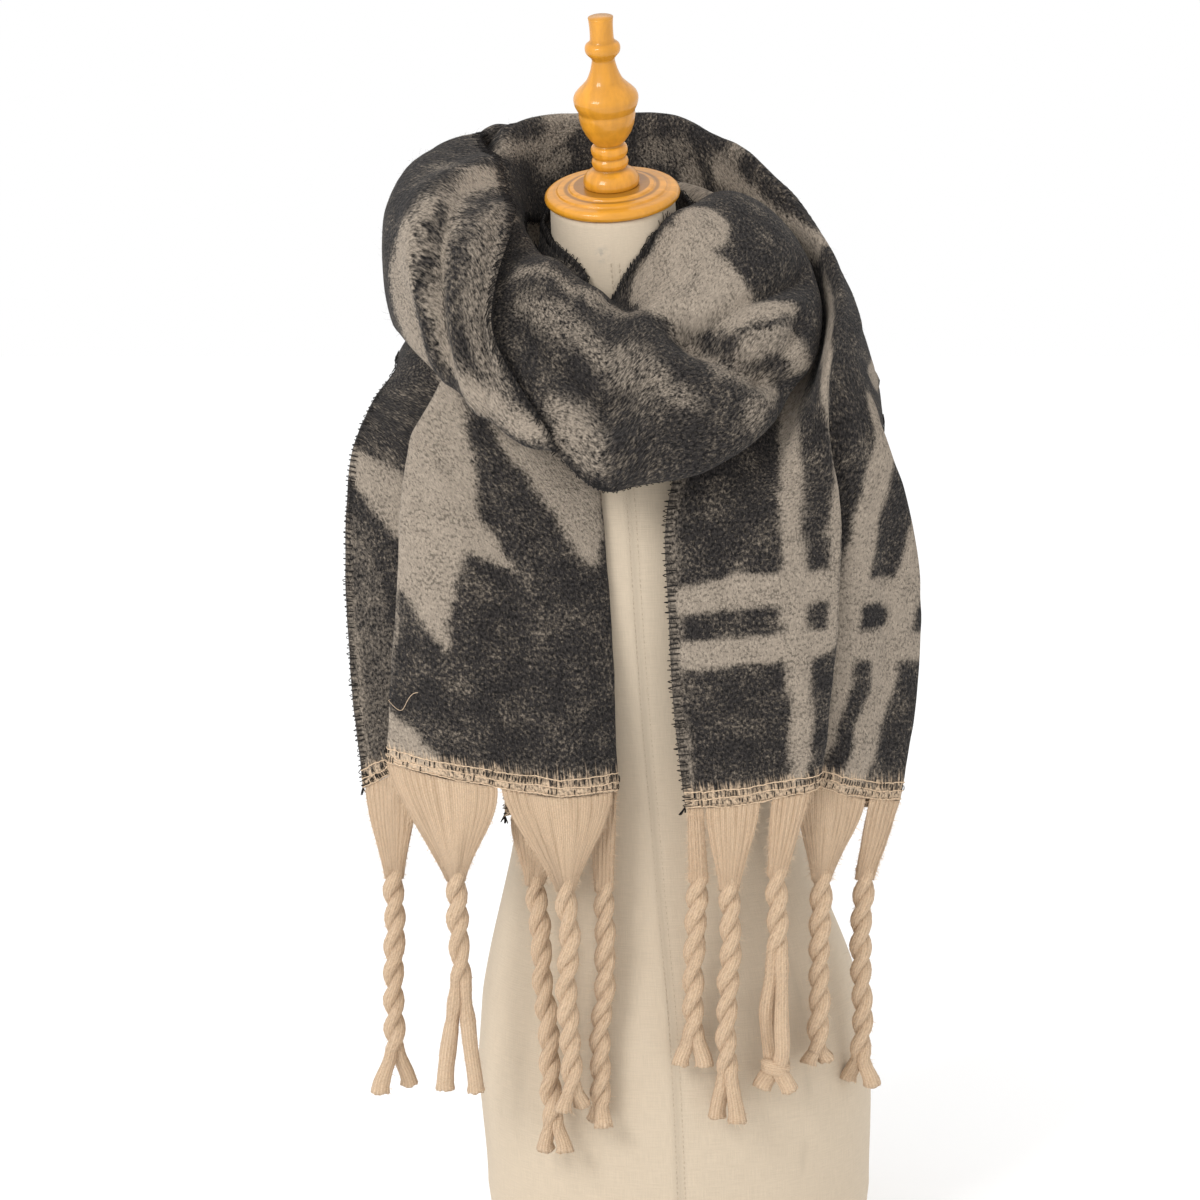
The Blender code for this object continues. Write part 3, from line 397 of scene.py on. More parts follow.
def cubic_through(knots, values, at):
    """The natural cubic spline through values at knots, read at the positions in at."""
    knots, values, at = np.asarray(knots, float), np.asarray(values, float), np.asarray(at, float)
    flat = values.reshape(len(knots), -1)
    step = np.diff(knots)
    slope = np.diff(flat, axis=0) / step[:, None]
    matrix = np.eye(len(knots))
    right = np.zeros_like(flat)
    for i in range(1, len(knots) - 1):
        matrix[i, i - 1:i + 2] = step[i - 1], 2 * (step[i - 1] + step[i]), step[i]
        right[i] = 6 * (slope[i] - slope[i - 1])
    bend = np.linalg.solve(matrix, right)
    i = np.clip(np.searchsorted(knots, at, side="right") - 1, 0, len(step) - 1)
    h = step[i][:, None]
    a = (knots[i + 1] - at)[:, None]
    b = (at - knots[i])[:, None]
    result = (
        bend[i] * a ** 3 / (6 * h) + bend[i + 1] * b ** 3 / (6 * h)
        + (flat[i] / h - bend[i] * h / 6) * a + (flat[i + 1] / h - bend[i + 1] * h / 6) * b
    )
    return result.reshape((len(at),) + values.shape[1:])


def soft_noise(x, y, cell, seed):
    """Smooth noise from -1 to 1: random heights on square cells, blended by 3t^2 - 2t^3 both ways."""
    table = np.random.default_rng(seed).uniform(-1, 1, (256, 256))
    i, j = np.floor(x / cell).astype(int), np.floor(y / cell).astype(int)
    s, t = ease(x / cell - i), ease(y / cell - j)
    low = table[i % 256, j % 256] * (1 - s) + table[(i + 1) % 256, j % 256] * s
    high = table[i % 256, (j + 1) % 256] * (1 - s) + table[(i + 1) % 256, (j + 1) % 256] * s
    return low * (1 - t) + high * t


def noise_along(length, cell, seed, lane=0.0):
    """Smooth noise along one length; another lane gives other noise."""
    return soft_noise(length, length * 0 + lane, cell, seed)


# ------------------------------------------------------------------ dress form
FORM = np.array(FORM_ROWS)


def form_shift(x, y, z):
    """How much the leaning figure raises a point of a level ring."""
    lean, tilt = (
        tan(angle) * np.clip((z - start) / span, 0, 1)
        for angle, (start, span) in ((LEAN, LEAN_LEVELS), (NECK_TILT, TILT_LEVELS))
    )
    return lean * x + tilt * y


def form_distance(points):
    """Roughly how far points are outside the form, negative inside."""
    x, y, z = np.moveaxis(points, -1, 0)
    level = z
    for _ in range(3):
        cx, cy = np.moveaxis(straight_through(FORM[:, 0], FORM[:, 1:3], level), -1, 0)
        level = z - form_shift(x - cx, y - cy, level)
    cx, cy, wide, front, back = np.moveaxis(straight_through(FORM[:, 0], FORM[:, 1:], level), -1, 0)
    deep = np.where(y < cy, front, back)
    share = np.sqrt(((x - cx) / wide) ** 2 + ((y - cy) / deep) ** 2)
    return (share - 1) * np.minimum(wide, deep)


# ------------------------------------------------------------------ middle surface of the scarf
def tail_guides(rows, places, layers, hem_rise, bow_x, hem_row):
    """The ten guides at each level of a tail; the hem's rise fades out upwards."""
    guides = []
    hem, top = rows[hem_row][0], max(row[0] for row in rows)
    for z, *edges, y_front, bow in rows:
        x = np.interp(places, range(5), edges)
        y = y_front + bow * ((x - bow_x) / BOW_REACH) ** 2 + np.array(layers)
        rise = np.array(hem_rise) * ((top - z) / (top - hem)) ** 2
        guides.append(np.stack([x, y, z + rise], axis=1))
    return guides


def neck_guides(rows):
    """The ten guides of each section round the neck's axis."""
    guides = []
    for turn, lead, distances, levels in rows:
        angle = np.radians(turn + lead * np.linspace(1, 0, GUIDES))
        r = np.array(in_metres(distances))
        x = NECK_AXIS[0] + r * np.sin(angle)
        y = NECK_AXIS[1] - r * np.cos(angle)
        guides.append(np.stack([x, y, in_metres(levels)], axis=1))
    return guides


def all_guides():
    """Guide points of every section and their distance along the cloth."""
    left = tail_guides(LEFT_TAIL_ROWS, LEFT_PLACES, LEFT_LAYERS, LEFT_HEM_RISE, LEFT_BOW_X, 0)
    right = tail_guides(RIGHT_TAIL_ROWS, RIGHT_PLACES, RIGHT_LAYERS, RIGHT_HEM_RISE, RIGHT_BOW_X, -1)
    guides = np.array(left + neck_guides(NECK_ROWS) + right)
    step = np.linalg.norm(np.diff(guides, axis=0), axis=2).mean(axis=1)
    return guides, np.concatenate([[0.0], np.cumsum(step)])


def section_curve(guides, per_span):
    """A smooth curve through the guides of one section, with per_span faces between two guides."""
    knots = reach_along(guides, 0.5)
    spots = np.arange(per_span * (len(guides) - 1) + 1) / per_span
    return cubic_through(knots, guides, np.interp(spots, np.arange(len(guides)), knots))


def normals_of(grid):
    """Unit normals of a grid of points, pointing away from the form."""
    return unit(np.cross(np.gradient(grid, axis=0), np.gradient(grid, axis=1)))


def across_of(grid):
    """Distance of each grid point across the cloth from its inner edge."""
    step = np.linalg.norm(np.diff(grid, axis=1), axis=2)
    return np.concatenate([np.zeros((len(grid), 1)), np.cumsum(step, axis=1)], axis=1)


def fold_height(along, across, rows):
    """Height of folds at places in the flat cloth: minus depth times a bell across each fold's line,
    faded at the two ends of the line."""
    height = np.zeros(along.shape)
    for a1, c1, a2, c2, half_width, depth in rows:
        run = np.array([a2 - a1, c2 - c1])
        length = np.hypot(*run)
        part = ((along - a1) * run[0] + (across - c1) * run[1]) / length ** 2
        side = ((along - a1) * run[1] - (across - c1) * run[0]) / length
        fade = np.clip(np.minimum(part, 1 - part) * 4 + 0.5, 0, 1)
        height -= depth * ease(fade) * np.exp(-(side / half_width) ** 2)
    return height


def share_in_bands(along, across, soft, rows):
    """Share of a colour at places in the flat cloth: for each straight run of a band its half width
    there less the distance to its line, over twice the softness of its edge, as 3t^2 - 2t^3, times
    the band's own share; the greatest over all bands."""
    share = np.zeros(along.shape)
    for full, places in rows:
        places = in_metres(places)
        for (a1, c1, w1), (a2, c2, w2) in zip(places, places[1:]):
            run_a, run_c = a2 - a1, c2 - c1
            part = ((along - a1) * run_a + (across - c1) * run_c) / (run_a ** 2 + run_c ** 2)
            part = np.clip(part, 0, 1)
            away = np.hypot(along - a1 - part * run_a, across - c1 - part * run_c)
            t = np.clip((w1 + (w2 - w1) * part - away) / (2 * soft) + 0.5, 0, 1)
            share = np.maximum(share, full * ease(t))
    return share


def pale_share(along, across, mingle):
    """Share of pale: the bands less the dark strokes, at places shifted by fine and coarse noise."""
    fine, coarse = 0.011, 0.028
    near = 0.0012 + 0.0022 * mingle
    a = along + near * (soft_noise(along, across, fine, 6) + soft_noise(along, across, coarse, 7))
    c = across + near * (soft_noise(along, across, fine, 8) + soft_noise(along, across, coarse, 9))
    soft = 0.0026 + 0.0054 * mingle
    return share_in_bands(a, c, soft, BAND_ROWS) * (1 - share_in_bands(a, c, soft, STROKE_ROWS))


def lift_off_form(grid, clear):
    """Moves grid points outwards, along the grade of the distance to the form, until they clear it."""
    tiny, longest_step, rounds = 0.0004, 0.01, 14
    for _ in range(rounds):
        here = form_distance(grid)
        grade = [(form_distance(grid + axis * tiny) - here) / tiny for axis in np.eye(3)]
        grade = np.stack(grade, axis=-1)
        size = np.maximum(np.linalg.norm(grade, axis=-1), 0.2)
        short = np.clip(clear - here / size, 0, longest_step)
        grid = grid + grade / size[..., None] * short[..., None] * 0.8
    return grid


@lru_cache(maxsize=2)
def cloth_sheet(wall, crease, columns_a_span, step):
    """The scarf's middle surface and what is known of each grid point.

    Across the cloth a smooth curve runs through ten guides; along it the guides follow a cubic spline
    through every row of the tables. Folds, creases and a little soft noise move it along its normal.
    """
    guides, knots = all_guides()
    line = np.linspace(0.0, knots[-1], int(round(knots[-1] / step)) + 1)
    sections = cubic_through(knots, guides, line)
    grid = np.array([section_curve(section, columns_a_span) for section in sections])
    across = across_of(grid)
    along = np.broadcast_to(line[:, None], across.shape)
    edge = np.minimum(across, across[:, -1:] - across)
    height = fold_height(along, across, FOLD_ROWS)
    fine = fold_height(along, across, CREASE_ROWS)
    fine += 0.0009 * soft_noise(along, across, 0.045, 3)
    fine += 0.0005 * soft_noise(along, across, 0.016, 4)
    fine += 0.0013 * noise_along(along, 0.022, 5) * np.exp(-edge / 0.008)  # the edge ripples
    height += crease * fine
    grid = grid + normals_of(grid) * height[..., None]
    grid = lift_off_form(grid, wall / 2 + CLEARANCE)
    way_across = unit(np.gradient(grid, axis=1))
    way_along = np.gradient(grid, axis=0)
    way_along = unit(way_along - way_across * (way_along * way_across).sum(axis=-1, keepdims=True))
    places, shares = zip(*MINGLE_ROWS)
    mingle = np.interp(along, in_metres(places), shares)
    return {
        "grid": grid, "along": along, "across": across, "edge": edge,
        "hem": np.minimum(along, knots[-1] - along), "way_along": way_along, "way_across": way_across,
        "normal": np.cross(way_along, way_across), "pale": pale_share(along, across, mingle),
        "mingle": mingle,
    }


def sheet_of(sizes):
    return cloth_sheet(sizes.wall, sizes.crease, sizes.columns_a_span, sizes.step)


# ------------------------------------------------------------------ meshes
def add_piece(name, points, faces, finish, slot, uv=None, values=None):
    """A mesh object from arrays: points (n, 3), a list of face arrays, UV in metres for each point
    and named numbers for each point. It rides on the one body."""
    mesh = bpy.data.meshes.new(name)
    points = np.asarray(points, np.float32)
    faces = [np.asarray(block, np.int32) for block in faces if len(block)]
    corners = np.concatenate([block.ravel() for block in faces])
    sides = np.concatenate([np.full(len(block), block.shape[1], np.int32) for block in faces])
    starts = np.concatenate([[0], np.cumsum(sides)[:-1]]).astype(np.int32)
    mesh.vertices.add(len(points))
    mesh.vertices.foreach_set("co", points.ravel())
    mesh.loops.add(len(corners))
    mesh.loops.foreach_set("vertex_index", corners)
    mesh.polygons.add(len(starts))
    mesh.polygons.foreach_set("loop_start", starts)
    mesh.update(calc_edges=True)
    mesh.polygons.foreach_set("use_smooth", np.full(len(starts), True))
    if uv is not None:
        layer = mesh.uv_layers.new(name="flat")
        layer.uv.foreach_set("vector", np.asarray(uv, np.float32)[corners].ravel())
    for key, value in (values or {}).items():
        layer = mesh.attributes.new(key, "FLOAT", "POINT")
        layer.data.foreach_set("value", np.asarray(value, np.float32).ravel())
    mesh.materials.append(finish)
    made = bpy.data.objects.new(name, mesh)
    bpy.context.scene.collection.objects.link(made)
    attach(made, "root")
    return made


def quads(rows, columns, around=False):
    """Faces between the points of a grid, row by row; around joins the last column to the first."""
    i = np.arange(rows - 1)[:, None]
    j = np.arange(columns if around else columns - 1)[None, :]
    k = (j + 1) % columns
    a, b, c, d = i * columns + j, i * columns + k, (i + 1) * columns + k, (i + 1) * columns + j
    return np.stack([a, b, c, d], axis=-1).reshape(-1, 4)


def capped(rings, low, high):
    """Closed skin over rings of points (levels, around, 3): each end is a fan of triangles about the
    point low or high. The two points come last."""
    levels, around = rings.shape[:2]
    first, centre = np.arange(around), levels * around
    last = first + centre - around
    caps = [np.stack([np.full(around, centre), np.roll(first, -1), first], axis=1),
            np.stack([np.full(around, centre + 1), last, np.roll(last, -1)], axis=1)]
    spots = np.concatenate([rings.reshape(-1, 3), [low, high]])
    return spots, [quads(levels, around, around=True), np.concatenate(caps)]


def circle(sides):
    return np.linspace(0, 2 * pi, sides, endpoint=False)


def tubes(paths, radii, hint, sides):
    """Closed tubes along many paths of equal length: a ring of points about each path point, square to
    the path, with the hint direction as the ring's first axis; one face closes each end."""
    paths = np.asarray(paths, float)
    count, length = paths.shape[:2]
    way = unit(np.gradient(paths, axis=1))
    first = unit(hint - way * (hint * way).sum(axis=-1, keepdims=True) + 1e-9)
    second = np.cross(way, first)
    turn = circle(sides)[:, None]
    radii = np.broadcast_to(np.asarray(radii, float), (count, length))[:, :, None, None]
    ring = first[:, :, None] * np.cos(turn) + second[:, :, None] * np.sin(turn)
    points = paths[:, :, None] + ring * radii
    shift = (np.arange(count) * length * sides)[:, None]
    body = (quads(length, sides, around=True)[None] + shift[..., None]).reshape(-1, 4)
    cap = np.arange(sides)
    low, high = cap[::-1] + shift, cap + (length - 1) * sides + shift
    return points.reshape(-1, 3), [body, low, high]


def joined(parts):
    """Several (points, face blocks) as one."""
    points, blocks, start = [], {}, 0
    for spots, faces in parts:
        for block in faces:
            blocks.setdefault(block.shape[1], []).append(block + start)
        points.append(spots)
        start += len(spots)
    return np.concatenate(points), [np.concatenate(group) for group in blocks.values()]


# ------------------------------------------------------------------ finishes
class Finish:
    """One node material; node() adds a node, with numbers or links as its inputs."""

    def __init__(self, name):
        self.material = bpy.data.materials.new(name)
        self.material.use_nodes = True
        self.tree = self.material.node_tree
        self.shader = self.tree.nodes["Principled BSDF"]

    def node(self, kind, output, inputs, **settings):
        made = self.tree.nodes.new("ShaderNode" + kind)
        for key, value in settings.items():
            setattr(made, key, value)
        for key, value in inputs.items():
            self.plug(made.inputs[key], value)
        return made.outputs[output]

    def plug(self, socket, value):
        if isinstance(value, bpy.types.NodeSocket):
            self.tree.links.new(value, socket)
        else:
            socket.default_value = value

    def math(self, operation, a, b):
        return self.node("Math", 0, {0: a, 1: b}, operation=operation)

    def add(self, a, b):
        return self.math("ADD", a, b)

    def times(self, a, b):
        return self.math("MULTIPLY", a, b)

    def sway(self, value, noise, amount):
        """A value moved up and down by noise about 0.5."""
        return self.add(value, self.times(self.math("SUBTRACT", noise, 0.5), amount))

    def noise(self, vector, scale, detail=3.0, rough=0.55, shift=0.0):
        """Fractal noise; three scales stretch it along its axes."""
        if isinstance(scale, tuple):
            inputs = {"Vector": vector, "Scale": scale, "Location": (shift, shift, 0.0)}
            vector, scale = self.node("Mapping", 0, inputs), 1.0
        inputs = {"Vector": vector, "Scale": scale, "Detail": detail, "Roughness": rough}
        return self.node("TexNoise", 0, inputs)

    def steps(self, value, low, high, out_low=0.0, out_high=1.0):
        span = {"Value": value, "From Min": low, "From Max": high, "To Min": out_low, "To Max": out_high}
        return self.node("MapRange", 0, span, interpolation_type="SMOOTHSTEP")

    def mix(self, share, a, b):
        """Colour a to colour b; 6 and 7 are the colour inputs of a mix node, 2 its colour output."""
        return self.node("Mix", 2, {"Factor": share, 6: a, 7: b}, data_type="RGBA")

    def layer(self, colour, over, value, low, high, most=1.0):
        """Lays a colour over another where a value rises from low to high."""
        return self.mix(self.steps(value, low, high, 0.0, most), colour, over)

    def value_of(self, name):
        return self.node("Attribute", "Fac", {}, attribute_name=name)

    def flat(self):
        return self.node("UVMap", 0, {}, uv_map="flat")

    def place(self):
        return self.node("TexCoord", "Object", {})

    def bump(self, height, distance, strength):
        normal = self.node("Bump", 0, {"Height": height, "Distance": distance, "Strength": strength})
        self.plug(self.shader.inputs["Normal"], normal)

    def surface(self, **sockets):
        for key, value in sockets.items():
            self.plug(self.shader.inputs[key.replace("_", " ")], value)


# The scales of the noises below are per metre; the distances of the bumps are in metres.
def shade(colour, factor):
    """A colour made lighter or darker, as RGBA."""
    return tuple(min(1.0, c * factor) for c in colour[:3]) + (1.0,)


def toned(colour, tone):
    """A colour with each of its three parts scaled."""
    return [c * k for c, k in zip(colour, tone)]


def brushed_cloth(colours):
    """Charcoal ground and beige bands. The share of pale, plus noise that is strongest where the two
    meet or mingle, blends them softly. The ground has clustered pale flecks and the bands dark pits;
    pale warps show through at the hems."""
    f = Finish("brushed_cloth")
    charcoal, beige = partial(shade, colours.charcoal), partial(shade, colours.beige)
    flat = f.flat()
    grain = f.noise(flat, (430.0, 360.0, 1.0), 2.0, 0.6)
    hair = f.noise(flat, (900.0, 340.0, 1.0), 3.0, 0.65)
    clump = f.noise(flat, 150.0, 3.0, 0.6)
    cloud = f.noise(flat, 40.0, 3.0, 0.6)
    share, mingle = f.value_of("pale"), f.value_of("mingle")
    meeting = f.times(f.times(share, f.math("SUBTRACT", 1.0, share)), 4.0)
    reach = f.add(f.times(meeting, f.add(f.times(mingle, 0.7), 0.5)), 0.3)
    rough = f.add(f.add(f.times(grain, 1.4), f.times(hair, 0.7)), -1.05)
    rough = f.sway(rough, clump, 1.1)
    pale = f.steps(f.add(share, f.times(rough, reach)), -0.04, 1.04)

    dark = f.layer(charcoal(0.22), charcoal(1.1), grain, 0.34, 0.62)
    dark = f.layer(dark, charcoal(2.6), hair, 0.50, 0.72, 0.7)
    bits = f.sway(f.noise(flat, (390.0, 330.0, 1.0), 4.0, 0.7, 31.0), cloud, 0.45)
    dark = f.layer(dark, beige(0.32), bits, 0.48, 0.64, 0.8)
    dark = f.layer(dark, beige(0.75), bits, 0.60, 0.72, 0.8)

    light = f.layer(beige(0.80), beige(1.22), hair, 0.34, 0.66)
    light = f.layer(light, beige(0.66), clump, 0.40, 0.66, 0.45)
    pits = f.sway(f.noise(flat, (420.0, 380.0, 1.0), 3.0, 0.6, 77.0), cloud, -0.35)
    light = f.layer(light, beige(0.32), pits, 0.49, 0.66, 0.80)
    body = f.mix(pale, dark, light)

    hem = f.sway(f.value_of("hem"), f.noise(flat, (620.0, 45.0, 1.0), 2.0), 0.050)
    warped = f.times(f.steps(hem, 0.004, 0.021, 0.85, 0.0), f.steps(grain, 0.34, 0.58, 0.35, 1.0))
    body = f.mix(warped, body, shade(colours.yarn, 0.80))
    ladder = f.node("TexWave", 1, {"Vector": flat, "Scale": 75.0, "Distortion": 2.0, "Detail Scale": 40.0},
                    bands_direction="Y")
    bound = f.times(f.steps(f.value_of("edge"), 0.004, 0.008, 1.0, 0.0), f.steps(ladder, 0.2, 0.7))
    body = f.mix(f.times(bound, 0.6), body, charcoal(0.6))
    f.surface(Base_Color=body, Roughness=0.95, Sheen_Weight=0.05, Sheen_Roughness=0.6,
              Specular_IOR_Level=0.08)
    f.bump(f.add(f.times(hair, 0.6), f.add(clump, grain)), 0.0018, 0.9)
    return f.material


def nap(colours):
    """Loose fibres, each near the tone of the cloth at its root."""
    f = Finish("cloth_nap")
    tone = f.mix(f.value_of("pale"), shade(colours.charcoal, 1.0), shade(colours.beige, 1.1))
    f.surface(Base_Color=tone, Roughness=1.0, Specular_IOR_Level=0.1)
    return f.material


def yarn(colours):
    """Twisted beige yarn: streaks along the yarn, fluffy mottling, painted shade in the hollows between
    ribs and lobes.
    """
    f = Finish("yarn")
    base = partial(shade, colours.yarn)
    warm = shade(toned(colours.yarn, (1.0, 0.84, 0.66)), 0.72)
    # colour of the painted shade in the hollows of the yarn
    deep = shade(toned(colours.yarn, (1.0, 0.76, 0.54)), 0.42)
    flat = f.flat()
    streak = f.noise(flat, (1300.0, 160.0, 1.0), 4.0, 0.7)
    fluff = f.noise(flat, 520.0, 4.0, 0.7)
    crimp = f.noise(flat, (620.0, 1100.0, 1.0), 3.0, 0.65)
    ribs = f.node("TexWave", 1, {"Vector": flat, "Scale": 172.0, "Distortion": 2.2, "Detail": 2.0,
                                 "Detail Scale": 60.0}, bands_direction="X")
    colour = f.layer(base(0.88), base(1.08), streak, 0.32, 0.68)
    colour = f.layer(colour, warm, crimp, 0.46, 0.66, 0.7)
    colour = f.layer(colour, base(1.10), fluff, 0.52, 0.72, 0.45)
    colour = f.layer(colour, base(0.92), f.noise(flat, 55.0), 0.3, 0.75, 0.30)
    # painted shade in the troughs of the ribs
    colour = f.mix(f.steps(ribs, 0.10, 0.50, 0.42, 0.0), colour, shade(warm, 0.85))
    # painted shade in the hollows between ribs and lobes, and where the fan gathers into the rope
    colour = f.mix(f.times(f.value_of("hollow"), 0.45), colour, deep)
    f.surface(Base_Color=colour, Roughness=0.95, Sheen_Weight=0.12, Sheen_Roughness=0.6,
              Specular_IOR_Level=0.15)
    relief = f.add(f.times(ribs, 0.6), f.times(crimp, -1.6))
    f.bump(f.add(streak, f.add(fluff, relief)), 0.0013, 0.85)
    return f.material


def thread(name, colour):
    """Plain spun thread with a little mottling."""
    f = Finish(name)
    spots = f.noise(f.place(), 700.0, 4.0, 0.7)
    f.surface(Base_Color=f.layer(shade(colour, 0.75), shade(colour, 1.25), spots, 0.35, 0.7),
              Roughness=0.9, Specular_IOR_Level=0.2)
    f.bump(spots, 0.0004, 0.5)
    return f.material


def linen(colours):
    """Plain-woven linen: crossing threads, thicker slubs, seams a little darker in their groove, and
    one faint smudge on the neck."""
    f = Finish("linen")
    base = partial(shade, colours.linen)
    flat, place = f.flat(), f.place()
    weft = f.noise(flat, (60.0, 1800.0, 1.0), 3.0, 0.6)
    warp = f.noise(flat, (1800.0, 60.0, 1.0), 3.0, 0.6)
    slub = f.noise(flat, (18.0, 620.0, 1.0), 2.0, 0.5)
    cross = f.add(weft, warp)
    colour = f.layer(base(0.93), base(1.04), cross, 0.80, 1.20)
    colour = f.layer(colour, base(0.84), slub, 0.62, 0.74, 0.22)
    colour = f.layer(colour, base(0.93), f.noise(flat, 9.0), 0.3, 0.8, 0.25)
    colour = f.mix(f.times(f.value_of("seam"), 0.40), colour, base(0.74))
    off = f.node("VectorMath", "Value", {0: place, 1: SMUDGE}, operation="DISTANCE")
    smudge = f.times(f.steps(off, 0.003, 0.009, 0.55, 0.0), f.steps(f.noise(place, 150.0), 0.40, 0.62))
    colour = f.mix(smudge, colour, (0.25, 0.24, 0.23, 1.0))
    f.surface(Base_Color=colour, Roughness=0.9, Sheen_Weight=0.08, Specular_IOR_Level=0.2)
    f.bump(f.add(cross, slub), 0.0004, 0.5)
    return f.material


def varnished_wood(colours, name, stretch):
    """Honey wood under glossy varnish: faint wavy grain, a soft change of tone, painted shade in the
    hollows of the profile.
    """
    f = Finish(name)
    base = partial(shade, colours.wood)
    grain, bands, pores = (
        f.noise(f.place(), tuple(s * scale for s in stretch), detail, rough)
        for scale, detail, rough in ((1.0, 5.0, 0.6), (0.32, 3.0, 0.5), (4.0, 3.0, 0.7))
    )
    colour = f.layer(base(0.86), base(1.10), grain, 0.30, 0.70)
    colour = f.layer(colour, base(0.74), bands, 0.42, 0.72, 0.45)
    colour = f.layer(colour, base(0.55), pores, 0.64, 0.74, 0.35)
    # painted shade in the hollows of the turned profile
    colour = f.mix(f.times(f.value_of("hollow"), 0.75), colour, base(0.30))
    f.surface(Base_Color=colour, Roughness=0.45, Specular_IOR_Level=0.3, Coat_Weight=0.5,
              Coat_Roughness=0.10)
    f.bump(grain, 0.0001, 0.2)
    return f.material


# ------------------------------------------------------------------ dress form
def form_surface(sizes):
    """Closed skin of the dress form.

    A level ring is two half ellipses, one to the front and one to the back, whose axes follow smooth
    curves through the table of levels; the lean and the neck's tilt then raise each point. Seams are
    shallow grooves with a soft ridge at each side, down the middle of the front and the back and
    half way round each side of them.
    """
    rows, sides = sizes.form_rows, sizes.form_sides
    level = np.linspace(0, 1, rows) * FORM[-1, 0]
    shape = cubic_through(FORM[:, 0], FORM[:, 1:], level)
    straight = straight_through(FORM[:, 0], FORM[:, 1:], level)
    shape[:, 2:] = np.minimum(shape[:, 2:], straight[:, 2:] + 0.0012)  # the curve bulges no further
    cx, cy, wide, front, back = (column[:, None] for column in shape.T)
    turn = circle(sides)[None]
    level = level[:, None]
    seam, groove = np.zeros((rows, sides)), np.zeros((rows, sides))
    for middle, sway in SEAM_ROWS:
        lie = middle + sway * np.sin(pi * np.clip((level - 0.05) / 0.7, 0, 1))
        away = (turn - lie + pi) % (2 * pi) - pi
        away = np.abs(away) * (wide + front) / 2
        seam = np.maximum(seam, np.exp(-(away / SEAM_HALF_WIDTH) ** 2))
        groove += SEAM_DEPTH * np.exp(-(away / 0.0014) ** 2)
        groove -= RIDGE_HEIGHT * np.exp(-((away - RIDGE_AWAY) / RIDGE_HALF_WIDTH) ** 2)
    fade = np.clip((0.84 - level) / 0.04, 0, 1)  # the neck has no seams
    seam, groove = seam * fade, groove * fade
    dents = 0.0006 * soft_noise(turn * 0.12, level, 0.05, 11) * (level < 0.86)
    x = (wide - groove + dents) * np.sin(turn)
    y = -(np.where(np.cos(turn) > 0, front, back) - groove + dents) * np.cos(turn)
    z = level + form_shift(x, y, level)
    points = np.stack([cx + x, cy + y, z], axis=-1)
    flat = np.stack([np.broadcast_to(turn * 0.15, z.shape), z], axis=-1)
    return points, flat, seam


def build_form(sizes, colours):
    """The form's rings, closed by a flat fan below and one on the neck."""
    points, flat, seam = form_surface(sizes)
    spots, faces = capped(points, points[0].mean(axis=0), points[-1].mean(axis=0))
    ends = [flat[0].mean(axis=0), flat[-1].mean(axis=0)]
    made = add_piece("linen_form", spots, faces, linen(colours), "linen",
                     np.concatenate([flat.reshape(-1, 2), ends]), {"seam": np.append(seam, [0.0, 0.0])})
    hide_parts("form_body")


def seam_stitches(sizes, colours):
    """Small pale stitches beside the front seam: short threads, each a low arch over the linen."""
    line = form_surface(sizes)[0][:, 0]
    length = reach_along(line)
    starts = np.arange(0.01, length[-1] - 0.03, sizes.seam_stitch)
    along = starts[:, None] + np.linspace(0, 0.62, 5)[None] * sizes.seam_stitch
    lift = np.array([0.0, 0.35, 0.5, 0.35, 0.0]) * 0.0007 + 0.0001  # the arch of a stitch
    parts = []
    for side in (-0.0032, 0.0032):  # to the left and to the right of the seam
        path = straight_through(length, line, along)
        path[..., 0] += side
        path[..., 1] -= lift
        parts.append(tubes(path, SEAM, FRONT, 5))
    spots, faces = joined(parts)
    finish = thread("seam_thread", shade(colours.linen, 0.92))
    add_piece("form_seam_stitches", spots, faces, finish, "linen")


def turned(rows, base, sides, fine):
    """A turned piece on the neck's axis: the profile, a smooth curve through rounded corners, swept
    round that axis; its flat base lies at the given height above the neck. Painted shade is laid where
    the profile dips below its own running mean; that share is the third value returned."""
    up = unit(np.array([-tan(LEAN), -tan(NECK_TILT), 1.0]))
    side = unit(np.cross((0.0, 1.0, 0.0), up))
    front = np.cross(up, side)
    centre = np.array([FORM[-1, 1], FORM[-1, 2], FORM[-1, 0]]) + up * base
    profile = np.array(rows)
    reach = reach_along(profile, 0.5)
    at = np.linspace(0, reach[-1], fine)
    curve = straight_through(reach, profile, at) * 0.35 + cubic_through(reach, profile, at) * 0.65
    curve[:, 0] = np.maximum.accumulate(curve[:, 0])
    height, radius = curve.T
    turn = circle(sides)[:, None]
    ring = side * np.cos(turn) + front * np.sin(turn)
    points = centre + up * height[:, None, None] + ring[None] * radius[:, None, None]
    even = np.linspace(0, height[-1], 801)
    level = np.interp(even, height, radius)
    half_window, full_dip = 20, 0.0008
    window = np.exp(-(np.linspace(-0.006, 0.006, 2 * half_window + 1) / 0.0028) ** 2)
    mean = np.convolve(np.pad(level, half_window, mode="edge"), window / window.sum(), mode="valid")
    dip = np.interp(height, even, mean - level)
    # share of painted shade in the hollows of the profile
    hollow = np.repeat(np.clip(dip / full_dip, 0, 1), sides)
    spots, faces = capped(points, centre + up * height[0], centre + up * height[-1])
    return spots, faces, np.append(hollow, [0.0, 0.0])


def build_wood(colours):
    cap_top = 2 * GAP + CAP_ROWS[-1][0]
    for name, node, rows, base, sides, fine, grain in (
        ("wooden_cap", "neck_cap", CAP_ROWS, GAP, 112, 70, (26.0, 200.0, 90.0)),
        ("wooden_finial", "finial", FINIAL_ROWS, cap_top, 84, 170, (150.0, 150.0, 24.0)),
    ):
        spots, faces, hollow = turned(rows, base, sides, fine)
        finish = varnished_wood(colours, name, grain)
        # its values carry the share of painted shade in the profile's hollows
        made = add_piece(name, spots, faces, finish, "varnished_wood", values={"hollow": hollow})
        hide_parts(node)


